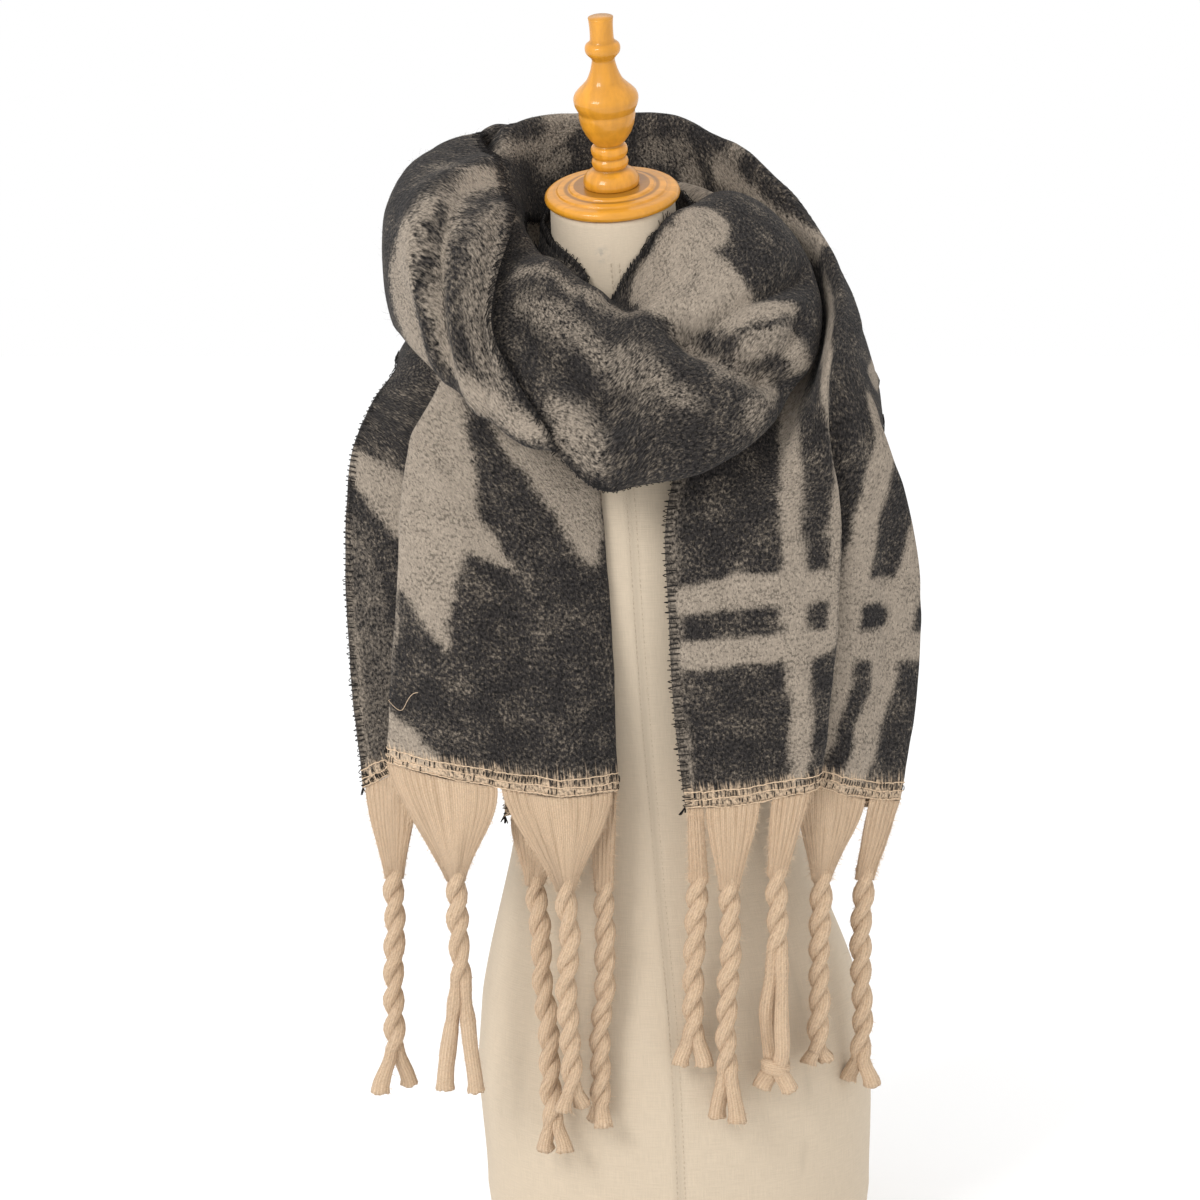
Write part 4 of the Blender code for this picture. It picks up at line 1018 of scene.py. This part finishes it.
# ------------------------------------------------------------------ scarf
def build_cloth(sizes, colours):
    """The whole scarf as one closed sheet: its two faces lie half a wall to each side of the middle
    surface, and a narrow rim joins them all round."""
    sheet = sheet_of(sizes)
    grid = sheet["grid"]
    rows, columns = grid.shape[:2]
    edge_share, edge_width = 0.45, 0.006  # the wall thins at the side edges
    thin = np.clip(edge_share + sheet["edge"] / edge_width, 0, 1)[..., None]
    half = sheet["normal"] * sizes.wall / 2 * thin
    points = np.concatenate([(grid + half).reshape(-1, 3), (grid - half).reshape(-1, 3)])
    face = quads(rows, columns)[:, ::-1]
    back = rows * columns
    i, j = np.arange(rows - 1), np.arange(columns - 1)
    first, last = i * columns, i * columns + columns - 1
    top = (rows - 1) * columns + j
    rim = [
        np.stack([first, back + first, back + first + columns, first + columns], axis=1),
        np.stack([last, last + columns, back + last + columns, back + last], axis=1),
        np.stack([j, j + 1, back + j + 1, back + j], axis=1),
        np.stack([top, back + top, back + top + 1, top + 1], axis=1),
    ]
    faces = np.concatenate([face, face[:, ::-1] + back] + rim)
    flat = np.stack([sheet["across"], sheet["along"]], axis=-1).reshape(-1, 2)
    values = {key: np.tile(sheet[key].ravel(), 2) for key in ("pale", "mingle", "hem", "edge")}
    made = add_piece("scarf_cloth", points, [faces], brushed_cloth(colours), "brushed_cloth",
                     np.tile(flat, (2, 1)), values)
    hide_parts(*SCARF_NODES)
    return made


def build_inner_fold(finish):
    """A closed roll of cloth: rings about a smooth line through the table, capped at both ends."""
    count, sides, knots = 22, 20, np.arange(len(INNER_FOLD))
    line = cubic_through(knots, INNER_FOLD, np.linspace(0, knots[-1], count))
    spots, faces = tubes(line[None, :, :3], line[None, :, 3], FRONT + (0.0, 0.0, 0.2), sides)
    ring, row = np.tile(np.arange(sides), count), np.repeat(np.arange(count), sides)
    wave = 1 + 0.06 * soft_noise(ring * 0.004, row * 0.003, 0.009, 13)
    middle = np.repeat(line[:, :3], sides, axis=0)
    spots = middle + (spots - middle) * wave[:, None]
    flat = np.stack([0.40 + ring * 0.0028, 1.30 + row * 0.002], axis=1)
    whole = np.ones(len(spots))
    values = {"pale": whole * 0.12, "mingle": whole, "hem": whole, "edge": whole}
    return add_piece("inner_fold", spots, faces, finish, "brushed_cloth", flat, values)


def build_nap(sizes, colours, name, side, count, longest, rings, seed):
    """Loose fibres on one face of the cloth: from a random root each leaves the surface at a slant,
    bends over and thins to a point, as a flat ribbon that ends in a triangle."""
    sheet = sheet_of(sizes)
    chance = np.random.default_rng(seed)
    rows, columns = sheet["grid"].shape[:2]
    width = sheet["across"][:, -1]
    i = np.searchsorted(np.cumsum(width) / width.sum(), chance.random(count)).clip(0, rows - 2)
    column = chance.random(count) * (columns - 1.001)
    j, s, t = column.astype(int), (column % 1)[:, None], chance.random(count)[:, None]

    def pick(key):
        value = sheet[key]
        value = value if value.ndim == 3 else value[..., None]
        near = value[i, j] * (1 - s) + value[i, j + 1] * s
        return near * (1 - t) + (value[i + 1, j] * (1 - s) + value[i + 1, j + 1] * s) * t

    up = pick("normal") * side
    root = pick("grid") + up * sizes.wall * 0.40  # just under the face, which lies at 0.5
    heading = chance.normal(0, 1, (count, 1)) * 0.9 + 1.2
    drift = unit(pick("way_across") * np.cos(heading) + pick("way_along") * np.sin(heading))
    length = longest * (0.35 + 0.65 * chance.random((count, 1)) ** 2)
    stand = 0.25 + 0.75 * chance.random((count, 1)) ** 1.5
    curl = chance.normal(0, 0.35, (count, 3))
    bend = unit(drift + curl * 0.6)
    flank = np.cross(up, drift)
    points = []
    for part, half in rings:
        spot = root + up * length * stand * (part - 0.35 * part ** 2) + bend * length * part
        spot = spot + flank * length * (curl[:, :1] * part ** 2)
        reach = flank * sizes.fibre * half / 2
        points += [spot - reach, spot + reach] if half else [spot]
    points = np.stack(points, axis=1)
    a_fibre = points.shape[1]
    base = np.arange(count)[:, None] * a_fibre
    faces = [base + np.array([[k, k + 1, k + 3, k + 2]]) for k in range(0, a_fibre - 3, 2)]
    faces = [np.concatenate(faces)] if faces else []
    faces.append(base + np.arange(a_fibre - 3, a_fibre)[None])
    share = pick("pale")[:, 0]
    blend = 0.05 + 0.16 * (1 - (2 * share - 1) ** 2)  # fibres stray most where the colours meet
    share = np.abs(share + chance.normal(0, 1, count) * blend)
    share = np.where(pick("hem")[:, 0] < 0.012, 1.0, share)  # pale at the hems
    return add_piece(name, points.reshape(-1, 3), faces, nap(colours), "brushed_cloth",
                     values={"pale": np.repeat(np.clip(share, 0, 1), a_fibre)})


def on_cloth(sizes, along, across):
    """Points and forward normals of the middle surface at places in the flat cloth."""
    sheet = sheet_of(sizes)
    row = along / (sheet["along"][1, 0] - sheet["along"][0, 0])
    first, part = row.astype(int), (row % 1)[:, None]

    def pick(value, rows):
        return np.array([straight_through(sheet["across"][r], value[r], place)
                         for r, place in zip(rows, across)])

    spot, normal = (pick(sheet[key], first) * (1 - part) + pick(sheet[key], first + 1) * part
                    for key in ("grid", "normal"))
    return spot, normal * -np.sign(normal[:, 1:2])


def build_whipping(sizes, colours):
    """Dark thread whipped over both side edges: each turn is a flat loop that comes from the outer face,
    passes the edge with a little slack and goes back on the inner face. Lengths and slants vary."""
    sheet = sheet_of(sizes)
    chance = np.random.default_rng(21)
    parts = []
    for edge, inside in ((0, 2), (-1, -3)):  # columns of the edge and of the cloth beside it
        line = sheet["grid"][:, edge]
        length = reach_along(line)
        places = np.arange(0.002, length[-1] - 0.002, sizes.stitch_pitch)
        n = len(places)
        places = places + chance.normal(0, 0.14, n) * sizes.stitch_pitch
        spot, normal, way, near = (
            straight_through(length, sheet[key][:, column], places)
            for key, column in (("grid", edge), ("normal", edge), ("way_along", edge), ("grid", inside))
        )
        out = unit(spot - near)
        reach = sizes.stitch_reach * (0.7 + 0.5 * chance.random((n, 1)))
        slack = 0.0006 + 0.0026 * chance.random((n, 1)) ** 1.6
        slant = way * chance.normal(0.0006, 0.0007, (n, 1))
        half = sizes.wall / 2 + WHIP_LIFT
        path = [spot + out * run * (reach if run < 0 else slack) + normal * side * half
                + slant * (k - len(WHIP_TURN) // 2) / 2 for k, (run, side) in enumerate(WHIP_TURN)]
        radius = WHIP * (0.8 + 0.5 * chance.random((n, 1)))
        parts.append(tubes(np.stack(path, axis=1), radius, way[:, None], 4))
    spots, faces = joined(parts)
    finish = thread("dark_thread", shade(colours.charcoal, 0.55))
    return add_piece("edge_whipping", spots, faces, finish, "brushed_cloth")


def hem_frames(sizes, right, distance, spots):
    """Points, normals and ways along and across the cloth, on a line at a distance from a hem, at
    shares of the cloth's width."""
    sheet = sheet_of(sizes)
    row = distance / (sheet["along"][1, 0] - sheet["along"][0, 0])
    i, s = int(row), row % 1
    near, far = (-1 - i, -2 - i) if right else (i, i + 1)
    columns = sheet["grid"].shape[1]
    at = np.asarray(spots) * (columns - 1)
    return [straight_through(np.arange(columns), sheet[key][near] * (1 - s) + sheet[key][far] * s, at)
            for key in ("grid", "normal", "way_along", "way_across")]


def hem_stitches(sizes, right, distance, width, chance):
    """One row of short upright stitches on both faces; soft noise leaves some of them out."""
    count = int(width / sizes.hem_pitch)
    places = (np.arange(count) + 0.5) / count
    spot, normal, along, across = hem_frames(sizes, right, distance, places)
    parts = []
    for face in (-1, 1):
        likely = 0.60 + 0.35 * noise_along(places * width, 0.03, 51 + int(distance * 1e4))
        keep = chance.random(count) < likely
        high = 0.0019 * (0.6 + 0.8 * chance.random((count, 1)))
        lift = normal * face * (sizes.wall / 2 + WEFT_LIFT)
        shift = along * chance.normal(0, 0.0005, (count, 1)) + across * chance.normal(0, 0.0002, (count, 1))
        path = [spot + shift + lift + along * high * t + normal * face * 0.0004 * (1 - t * t)
                for t in (-1.0, 0.0, 1.0)]
        parts.append(tubes(np.stack(path, axis=1)[keep], WEFT, across[keep][:, None], 4))
    return parts


def hem_line(sizes, right, distance, width):
    """One pale thread along the hem on both faces, which rises and sinks and wanders a little."""
    at = np.linspace(0.002, 0.998, 220)
    spot, normal, along, _ = hem_frames(sizes, right, max(0.0, distance), at)
    wave = 0.0005 * np.sin(at * width / sizes.hem_pitch * pi)[:, None]
    drift = noise_along(at * width, 0.016, 41 + int(distance * 1e4))
    drift = drift + 0.5 * noise_along(at * width, 0.004, 47)
    spot = spot + along * 0.0011 * drift[:, None]
    high = sizes.wall / 2 + HEM_LINE_LIFT
    paths = [spot + normal * (face * high + wave) for face in (-1, 1)]
    return [tubes(path[None], HEM_LINE, normal[None], 4) for path in paths]


def corner_tuft(sizes, right, corner, chance):
    """Loose ends of dark thread at a corner of the cloth, each a short bent line that leads outwards."""
    count = 9
    spot, normal, along, across = hem_frames(sizes, right, 0.001, np.full(count, corner))
    outward = along * (1 if right else -1)
    outward = outward + across * (2 * corner - 1) * chance.uniform(-0.1, 0.9, (count, 1))
    outward = unit(outward + normal * chance.normal(0, 0.15, (count, 1)))
    reach = chance.uniform(0.003, 0.008, (count, 1))
    path = [spot + outward * reach * t + normal * 0.002 * t * (1 - t) for t in (0, 0.5, 1)]
    return tubes(np.stack(path, axis=1), TUFT, normal[:, None], 4)


def build_hem_rows(sizes, colours):
    """Two rows of dark weft at each hem with pale threads above and below them, tufts at the corners
    and one loose pale thread on the left tail."""
    chance = np.random.default_rng(31)
    dark, pale = [], []
    for right in (False, True):
        width = sheet_of(sizes)["across"][-1 if right else 0, -1]
        for distance, offsets in zip(HEM_ROWS, HEM_LINES):
            dark += hem_stitches(sizes, right, distance, width, chance)
            for offset in offsets:
                pale += hem_line(sizes, right, distance + offset, width)
        dark += [corner_tuft(sizes, right, corner, chance) for corner in (0.0, 1.0)]
    knots = np.arange(len(LOOSE_THREAD))
    bend = cubic_through(knots, LOOSE_THREAD, np.linspace(0, knots[-1], 24))
    spot, normal = on_cloth(sizes, bend[:, 0], bend[:, 1])
    pale.append(tubes((spot + normal * bend[:, 2:])[None], LOOSE, normal[None], 4))
    weft = thread("weft_thread", shade(colours.charcoal, 0.5))
    line = thread("pale_thread", shade(colours.yarn, 0.78))
    return [add_piece("hem_weft", *joined(dark), weft, "brushed_cloth"),
            add_piece("hem_threads", *joined(pale), line, "yarn")]


# ------------------------------------------------------------------ tassels
def powered(value, power):
    """A value raised to a power with its sign kept."""
    return np.sign(value) * np.abs(value) ** power


def tassel_fan(row, sizes, seed):
    """The ribbed fan of yarn that gathers from the hem into the rope, closed at both ends.

    Its cross section is a flattened ring: as wide as its share of the hem at the top, and as wide as
    the rope at the bottom; ribs are the absolute value of a sine across it.
    """
    _, hem, from_guide, to_guide, apex, _, _, _ = row
    apex = np.array(in_metres(apex))
    around, levels, samples = 132, 30, 64
    places = np.linspace(*sorted((from_guide / (GUIDES - 1), to_guide / (GUIDES - 1))), samples)
    spot, normal, _, _ = hem_frames(sizes, hem == "right", 0.0, places)
    if spot[0, 0] > spot[-1, 0]:
        spot, normal = spot[::-1], normal[::-1]
    if normal[:, 1].mean() > 0:
        normal = -normal
    turn = circle(around)
    wide, deep = -powered(np.cos(turn), 0.85), powered(np.sin(turn), 0.6)
    share = (wide + 1) / 2
    width = reach_along(spot)[-1]
    ribs = max(5, int(round(width / sizes.rib)))
    wander = 0.25 * noise_along(share * 8, 1.0, seed) / ribs
    part = np.linspace(0, 1, levels)[:, None]
    narrow = (0.5 * ease(part) + 0.5 * part ** 1.5)[..., None]
    k = np.linspace(0, 1, samples)
    top, away = straight_through(k, spot, share), unit(straight_through(k, normal, share))
    rope = np.array([sizes.strand * 1.45, 0.0, 0.0]) * wide[:, None]
    centre = top.mean(axis=0) * (1 - part) + apex * part
    middle = (top - top.mean(axis=0)) * (1 - narrow) + rope * narrow + centre[:, None]
    facing = unit(away * (1 - part[..., None]) + FRONT * part[..., None])
    thick = 0.0013 * (1 - part) + sizes.strand * 1.1 * part ** 1.6  # half the fan, without its ribs
    rib = np.abs(np.sin((share + wander) * ribs * pi + 0.4 * np.sin(part * 3 + seed)))
    swell = 0.0009 * (1 - part) + 0.0007 * part  # height of the ribs
    curve = 0.0030 * np.sin(pi * part) * (1 - wide ** 2)  # how far the fan bulges to the front
    curve = curve + 0.0012 * soft_noise(share * 0.1, part * 0.1, 0.02, seed + 7)
    points = middle + facing * ((thick + swell * (rib - 0.5)) * deep + curve * 0.7)[..., None]
    points[:, :, 2] -= 0.0002  # just below the hem
    # Share of painted shade: in the troughs between the ribs, and more where the fan gathers into the rope.
    hollow = np.clip(1 - rib * 1.6, 0, 1) * np.clip(np.abs(deep) * 3, 0, 1)
    hollow = np.maximum(hollow, 0.4 * part ** 6)
    flat = np.stack(np.broadcast_arrays(share * width, part * 0.11), axis=-1)
    spots, (walls, caps) = capped(points, points[0].mean(axis=0), points[-1].mean(axis=0))
    # The walls are turned outward. The caps, hidden in the hem and in the rope, still face inward.
    return (spots, [walls[:, ::-1], caps], np.append(hollow, [0.0, 0.5]),
            np.concatenate([flat.reshape(-1, 2), [[0.0, 0.0], [0.0, 0.1]]]))


def strand_path(start, end, row, sizes, phase, count, seed):
    """Middle line of one of a rope's two strands, with its frame: a helix about the line from start to
    end, whose turn stops where the ends come loose and part. A knot draws them together again."""
    loose, spread, knot = row[6], in_metres(row[7]), KNOTS.get(row[0], -1.0)
    part = np.linspace(0, 1, count)
    length = np.linalg.norm(end - start)
    down = (end - start) / length
    ex = np.cross(down, -FRONT)
    ex = unit(ex * np.sign(ex[0]))
    ey = np.cross(down, ex)
    ey = ey * np.sign(ey[1])
    free = ease(np.clip((part - (1 - loose)) / loose, 0, 1))
    turn = phase - 2 * pi * length * np.minimum(part, 1 - loose) / sizes.rope_pitch
    turn = (turn + 0.5 * noise_along(part * length, 0.05, seed + 9))[:, None]
    drawn = np.exp(-((part - knot) / 0.07) ** 2)
    apart = sizes.strand * 0.68 + spread * free * (1 - drawn)
    path = start + down * length * part[:, None] + (ex * np.cos(turn) + ey * np.sin(turn)) * apart[:, None]
    sway, lean = (noise_along(part * length, 0.045, seed, lane)[:, None] for lane in (0.5, 1.5))
    fade = np.sin(pi * np.minimum(part * 1.2, 1))[:, None]
    return path + 0.0028 * fade * (ex * sway + ey * lean), down, ex, ey, length


def tassel_strand(start, end, row, sizes, phase, seed, chance):
    """One strand: a tube along its helix, with seven lobes that turn the other way, and a cut end."""
    count, sides, loose = 72, 21, row[6]
    path, down, ex, _, length = strand_path(start, end, row, sizes, phase, count, seed)
    t = np.linspace(0, 1, count)[:, None]
    turn = circle(sides)[None]
    free = np.clip((t - (1 - loose)) / loose, 0, 1)
    twist = 2 * pi * length * np.minimum(t, 1 - loose * 0.6) / (sizes.rope_pitch * 0.8)
    lobe = np.abs(np.cos(3.5 * (turn + twist)))
    size = sizes.strand * (1 + 0.32 * free + 0.14 * noise_along(t * length, 0.014, seed + int(phase)))
    size = size * np.clip(0.55 + t * 12, 0, 1) * (1 + 0.10 * np.clip((t - 0.975) / 0.02, 0, 1))
    radius = size * (0.93 + 0.09 * lobe)
    way = unit(np.gradient(path, axis=0))
    first = unit(ex - way * (way @ ex)[:, None])
    second = np.cross(way, first)
    turn = turn[..., None]
    ring = first[:, None] * np.cos(turn) + second[:, None] * np.sin(turn)
    tube = path[:, None] + ring * radius[..., None]
    tube[-1] += down * chance.normal(0.0, 0.0005, (sides, 1))
    spots, faces = capped(tube, path[0], path[-1] + down * 0.0004)
    flat = np.stack(np.broadcast_arrays(circle(sides) / (2 * pi) * 0.028, t * length), axis=-1)
    # The third value is the share of painted shade between the lobes and at the strand's cut end.
    return (spots, faces, np.append(np.clip(1 - lobe * 2.2, 0, 1), [0.6, 0.3]),
            np.concatenate([flat.reshape(-1, 2), [[0.0, 0.0], [0.0, length]]]))


def tassel_knot(start, end, row, sizes, seed):
    """A coil of nearly two laps of yarn about both strands."""
    count, sides = 56, 14
    _, down, ex, ey, _ = strand_path(start, end, row, sizes, 0.0, 2, seed)
    lap = np.linspace(0, 3.8 * pi, count)
    rise = (lap / lap[-1] - 0.5) * 1.5 + 0.45 * np.sin(lap + 0.6)
    ring = 1.45 * ex * np.cos(lap)[:, None] + 1.30 * ey * np.sin(lap)[:, None]
    path = start + (end - start) * KNOTS[row[0]] + sizes.strand * (ring + down * rise[:, None])
    spots, faces = tubes(path[None], sizes.strand * 0.80, down, sides)
    flat = np.broadcast_arrays(np.arange(sides) * 0.002, lap[:, None] * sizes.strand)
    return spots, faces, np.zeros(len(spots)), np.stack(flat, axis=-1).reshape(-1, 2)


def build_tassel(row, sizes, finish, seed):
    """One tassel: a fan of yarn, a rope of two plied strands that starts inside it, and its knot."""
    name, apex, end = row[0], *(np.array(in_metres(row[k])) for k in (4, 5))
    start = apex + unit(apex - end) * ROPE_START
    chance = np.random.default_rng(seed)
    parts = [tassel_fan(row, sizes, seed)]
    parts += [tassel_strand(start, end, row, sizes, phase, seed, chance) for phase in (0.0, pi)]
    if name in KNOTS:
        parts.append(tassel_knot(start, end, row, sizes, seed))
    # each part's share of painted shade, and its flat places
    hollow, flat = (np.concatenate([part[k] for part in parts]) for k in (2, 3))
    made = add_piece("yarn_" + name, *joined(part[:2] for part in parts), finish, "yarn", flat,
                     {"hollow": hollow})
    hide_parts(name)
    return made


def build_fluff(sizes, colours, made):
    """Short loose fibres that hang from random points of the yarn, each two faces that end in a tip."""
    chance = np.random.default_rng(77)
    roots, ups = [], []
    for piece in made:
        mesh = piece.data
        spots, normals = (np.empty(len(mesh.vertices) * 3, np.float32) for _ in range(2))
        mesh.vertices.foreach_get("co", spots)
        mesh.vertex_normals.foreach_get("vector", normals)
        pick = chance.integers(0, len(mesh.vertices), sizes.fluff_count)
        roots.append(spots.reshape(-1, 3)[pick])
        ups.append(normals.reshape(-1, 3)[pick])
    root, up = np.concatenate(roots).astype(float), np.concatenate(ups).astype(float)
    count = len(root)
    drift = unit(chance.normal(0, 0.6, (count, 3)) + np.array([0.0, 0.0, -0.8]))
    shortest, further = 0.0022, 0.0042
    length = shortest + further * chance.random((count, 1)) ** 2
    side = unit(np.cross(up, drift) + 1e-6) * sizes.fibre * 0.8
    middle = root + up * length * 0.45 + drift * length * 0.4
    tip = root + up * length * 0.55 + drift * length
    tip[:, 2] = np.maximum(tip[:, 2], 0.001)  # above the floor
    points = np.stack([root - side, root + side, middle - side * 0.8, middle + side * 0.8, tip], axis=1)
    base = np.arange(count)[:, None] * 5
    faces = [base + np.array([[0, 1, 3, 2]]), base + np.array([[2, 3, 4]])]
    finish = thread("yarn_fluff", shade(colours.yarn, 0.78))
    return add_piece("yarn_fluff", points.reshape(-1, 3), faces, finish, "yarn")


# ------------------------------------------------------------------ settings
def metres(label, text, default):
    return FloatProperty(name=label, description=text, default=default, min=0.0, precision=4, unit="LENGTH")


def amount(label, text, default, least=0):
    return IntProperty(name=label, description=text, default=default, min=least)


def tint(label, text, default):
    return FloatVectorProperty(name=label, description=text, default=default, size=3, min=0.0, max=1.0,
                               subtype="COLOR")


class ScarfSizes(bpy.types.PropertyGroup):
    wall: metres("Wall", "Thickness of the cloth", 0.0026)
    step: metres("Step", "Distance between two rows of the cloth's mesh", 0.004)
    columns_a_span: amount("Columns", "Faces between two guides", 9, 2)
    crease: FloatProperty(name="Creases", description="How deep the fine creases are", default=1.0, min=0.0)
    cut_width: metres("Cut width", "Mean width of the flat cloth that shows", 0.30)
    cut_length: metres("Cut length", "Length of the flat cloth without its tassels", 2.15)
    nap: metres("Nap", "Length of the longest fibres of the nap", 0.0029)
    nap_count: amount("Nap fibres", "Fibres in each piece of nap", 90000)
    stray: metres("Stray fibres", "Length of the longest stray fibres", 0.012)
    stray_count: amount("Strays", "Stray fibres on the outer face", 9000)
    fibre: metres("Fibre", "Width of a loose fibre", 0.00013)
    stitch_pitch: metres("Stitch pitch", "Distance between two whip stitches", 0.0042)
    stitch_reach: metres("Stitch reach", "How far a whip stitch lies on the cloth", 0.0068)
    hem_pitch: metres("Hem pitch", "Distance between two upright stitches of a hem", 0.0024)
    rib: metres("Rib", "Distance between two ribs of a fan", 0.0048)
    strand: metres("Strand", "Radius of one strand of a rope", 0.0053)
    rope_pitch: metres("Rope pitch", "Length of one turn of a rope", 0.045)
    fluff_count: amount("Fluff", "Loose fibres on each tassel", 2800)
    form_rows: amount("Form rows", "Rings of the dress form", 210, 8)
    form_sides: amount("Form sides", "Points in a ring of the form", 160, 8)
    seam_stitch: metres("Seam stitch", "Length of one stitch of the form's seams", 0.0045)


class ScarfColours(bpy.types.PropertyGroup):
    charcoal: tint("Charcoal", "Ground of the scarf", (0.0235, 0.0208, 0.0202))
    beige: tint("Beige", "Pale bands of the scarf", (0.335, 0.280, 0.222))
    yarn: tint("Yarn", "Tassels and hems", (0.90, 0.675, 0.465))
    linen: tint("Linen", "Cover of the dress form", (0.57, 0.475, 0.36))
    wood: tint("Wood", "Neck cap and finial", (0.66, 0.285, 0.020))


class StageSettings(bpy.types.PropertyGroup):
    floor_size: metres("Floor", "Side of the square floor", 12.0)
    floor_colour: tint("Floor colour", "Matt pale floor", (0.97, 0.97, 0.97))
    camera_distance: metres("Camera distance", "From the camera to its target", 2.4)
    camera_height: FloatProperty(name="Camera elevation", description="Angle above the level",
                                 default=radians(12.0), subtype="ANGLE")
    lens: FloatProperty(name="Lens", description="Focal length in millimetres", default=88.0, min=1.0)
    target: FloatVectorProperty(name="Target", description="Where the camera looks", subtype="TRANSLATION",
                                default=(-0.064, 0.0, 0.565), unit="LENGTH")


# ------------------------------------------------------------------ operators
class SCARF_OT_form(bpy.types.Operator):
    """Make the linen dress form and its seams"""

    bl_idname = "scarf.form"
    bl_label = "Dress form"

    def execute(self, context):
        sizes, colours = context.scene.scarf_sizes, context.scene.scarf_colours
        build_form(sizes, colours)
        seam_stitches(sizes, colours)
        return {"FINISHED"}


class SCARF_OT_wood(bpy.types.Operator):
    """Make the turned cap and finial of the neck"""

    bl_idname = "scarf.wood"
    bl_label = "Cap and finial"

    def execute(self, context):
        build_wood(context.scene.scarf_colours)
        return {"FINISHED"}


class SCARF_OT_cloth(bpy.types.Operator):
    """Make the scarf's cloth with its edges, hems, nap and tassels"""

    bl_idname = "scarf.cloth"
    bl_label = "Scarf"

    def execute(self, context):
        sizes, colours = context.scene.scarf_sizes, context.scene.scarf_colours
        cloth = build_cloth(sizes, colours)
        short, long = (sizes.nap_count, sizes.nap, STUB), (sizes.stray_count, sizes.stray, CURL)
        trims = [
            build_nap(sizes, colours, "nap_outer_1", -1, *short, 51),
            build_nap(sizes, colours, "nap_outer_2", -1, *short, 52),
            build_nap(sizes, colours, "nap_inner", 1, *short, 53),
            build_nap(sizes, colours, "stray_fibres", -1, *long, 54),
            build_whipping(sizes, colours),
            build_inner_fold(cloth.data.materials[0]),
        ]
        trims += build_hem_rows(sizes, colours)
        finish = yarn(colours)
        tassels = [build_tassel(row, sizes, finish, 60 + k) for k, row in enumerate(TASSEL_ROWS)]
        trims += tassels + [build_fluff(sizes, colours, tassels)]
        return {"FINISHED"}


class SCARF_OT_stage(bpy.types.Operator):
    """Make the floor, the soft lights and the camera"""

    bl_idname = "scarf.stage"
    bl_label = "Stage"

    def execute(self, context):
        build_stage(context.scene.scarf_stage)
        return {"FINISHED"}


class SCARF_PT_panel(bpy.types.Panel):
    bl_label = "Blanket scarf"
    bl_space_type = "VIEW_3D"
    bl_region_type = "UI"
    bl_category = "Scarf"

    def draw(self, context):
        layout = self.layout
        for group in (context.scene.scarf_sizes, context.scene.scarf_colours, context.scene.scarf_stage):
            column = layout.column()
            for name in group.__annotations__:
                column.prop(group, name)
        for operator in OPERATORS:
            layout.operator(operator.bl_idname)


OPERATORS = (SCARF_OT_form, SCARF_OT_wood, SCARF_OT_cloth, SCARF_OT_stage)
GROUPS = {"scarf_sizes": ScarfSizes, "scarf_colours": ScarfColours, "scarf_stage": StageSettings}


# ------------------------------------------------------------------ stage
def area_light(name, place, target, size, power):
    """A square lamp at a place that faces a target."""
    lamp = bpy.data.lights.new(name, "AREA")
    lamp.shape, lamp.size, lamp.energy = "SQUARE", size, power
    made = bpy.data.objects.new(name, lamp)
    made.location = place
    made.rotation_euler = (Vector(target) - Vector(place)).to_track_quat("-Z", "Y").to_euler()
    bpy.context.scene.collection.objects.link(made)


def build_stage(stage):
    """A plain pale floor, an even white world, two soft lamps and the camera."""
    half = stage.floor_size / 2
    mesh = bpy.data.meshes.new("floor")
    mesh.from_pydata([(-half, -half, 0), (half, -half, 0), (half, half, 0), (-half, half, 0)], [],
                     [(0, 1, 2, 3)])
    f = Finish("floor")
    f.surface(Base_Color=(*stage.floor_colour, 1.0), Roughness=0.9, Specular_IOR_Level=0.1,
              Emission_Color=(1.0, 1.0, 1.0, 1.0), Emission_Strength=0.07)
    mesh.materials.append(f.material)
    floor = bpy.data.objects.new("floor", mesh)
    bpy.context.scene.collection.objects.link(floor)

    world = bpy.data.worlds.new("studio")
    world.use_nodes = True
    background = world.node_tree.nodes["Background"].inputs
    background["Color"].default_value = (1.0, 1.0, 1.0, 1.0)
    background["Strength"].default_value = 1.0
    bpy.context.scene.world = world
    bpy.context.scene.view_settings.view_transform = "Standard"
    middle = (-0.05, 0.0, 0.6)
    area_light("key", (-1.9, -2.3, 2.4), middle, 1.2, 56.0)
    area_light("fill", (2.0, -1.8, 1.4), middle, 1.6, 2.0)

    camera = bpy.data.objects.new("camera", bpy.data.cameras.new("camera"))
    camera.data.lens = stage.lens
    target, rise = Vector(stage.target), stage.camera_height
    camera.location = target + Vector((0.0, -cos(rise), sin(rise))) * stage.camera_distance
    camera.rotation_euler = (target - camera.location).to_track_quat("-Z", "Y").to_euler()
    bpy.context.scene.collection.objects.link(camera)
    bpy.context.scene.camera = camera


def register():
    for kind in (*GROUPS.values(), *OPERATORS, SCARF_PT_panel):
        bpy.utils.register_class(kind)
    for name, group in GROUPS.items():
        setattr(bpy.types.Scene, name, PointerProperty(type=group))


def unregister():
    for name in GROUPS:
        delattr(bpy.types.Scene, name)
    for kind in (SCARF_PT_panel, *reversed(OPERATORS), *GROUPS.values()):
        bpy.utils.unregister_class(kind)


def main():
    register()
    bpy.ops.scarf.stage()
    bpy.ops.scarf.form()
    bpy.ops.scarf.wood()
    bpy.ops.scarf.cloth()


if __name__ == "__main__":
    main()
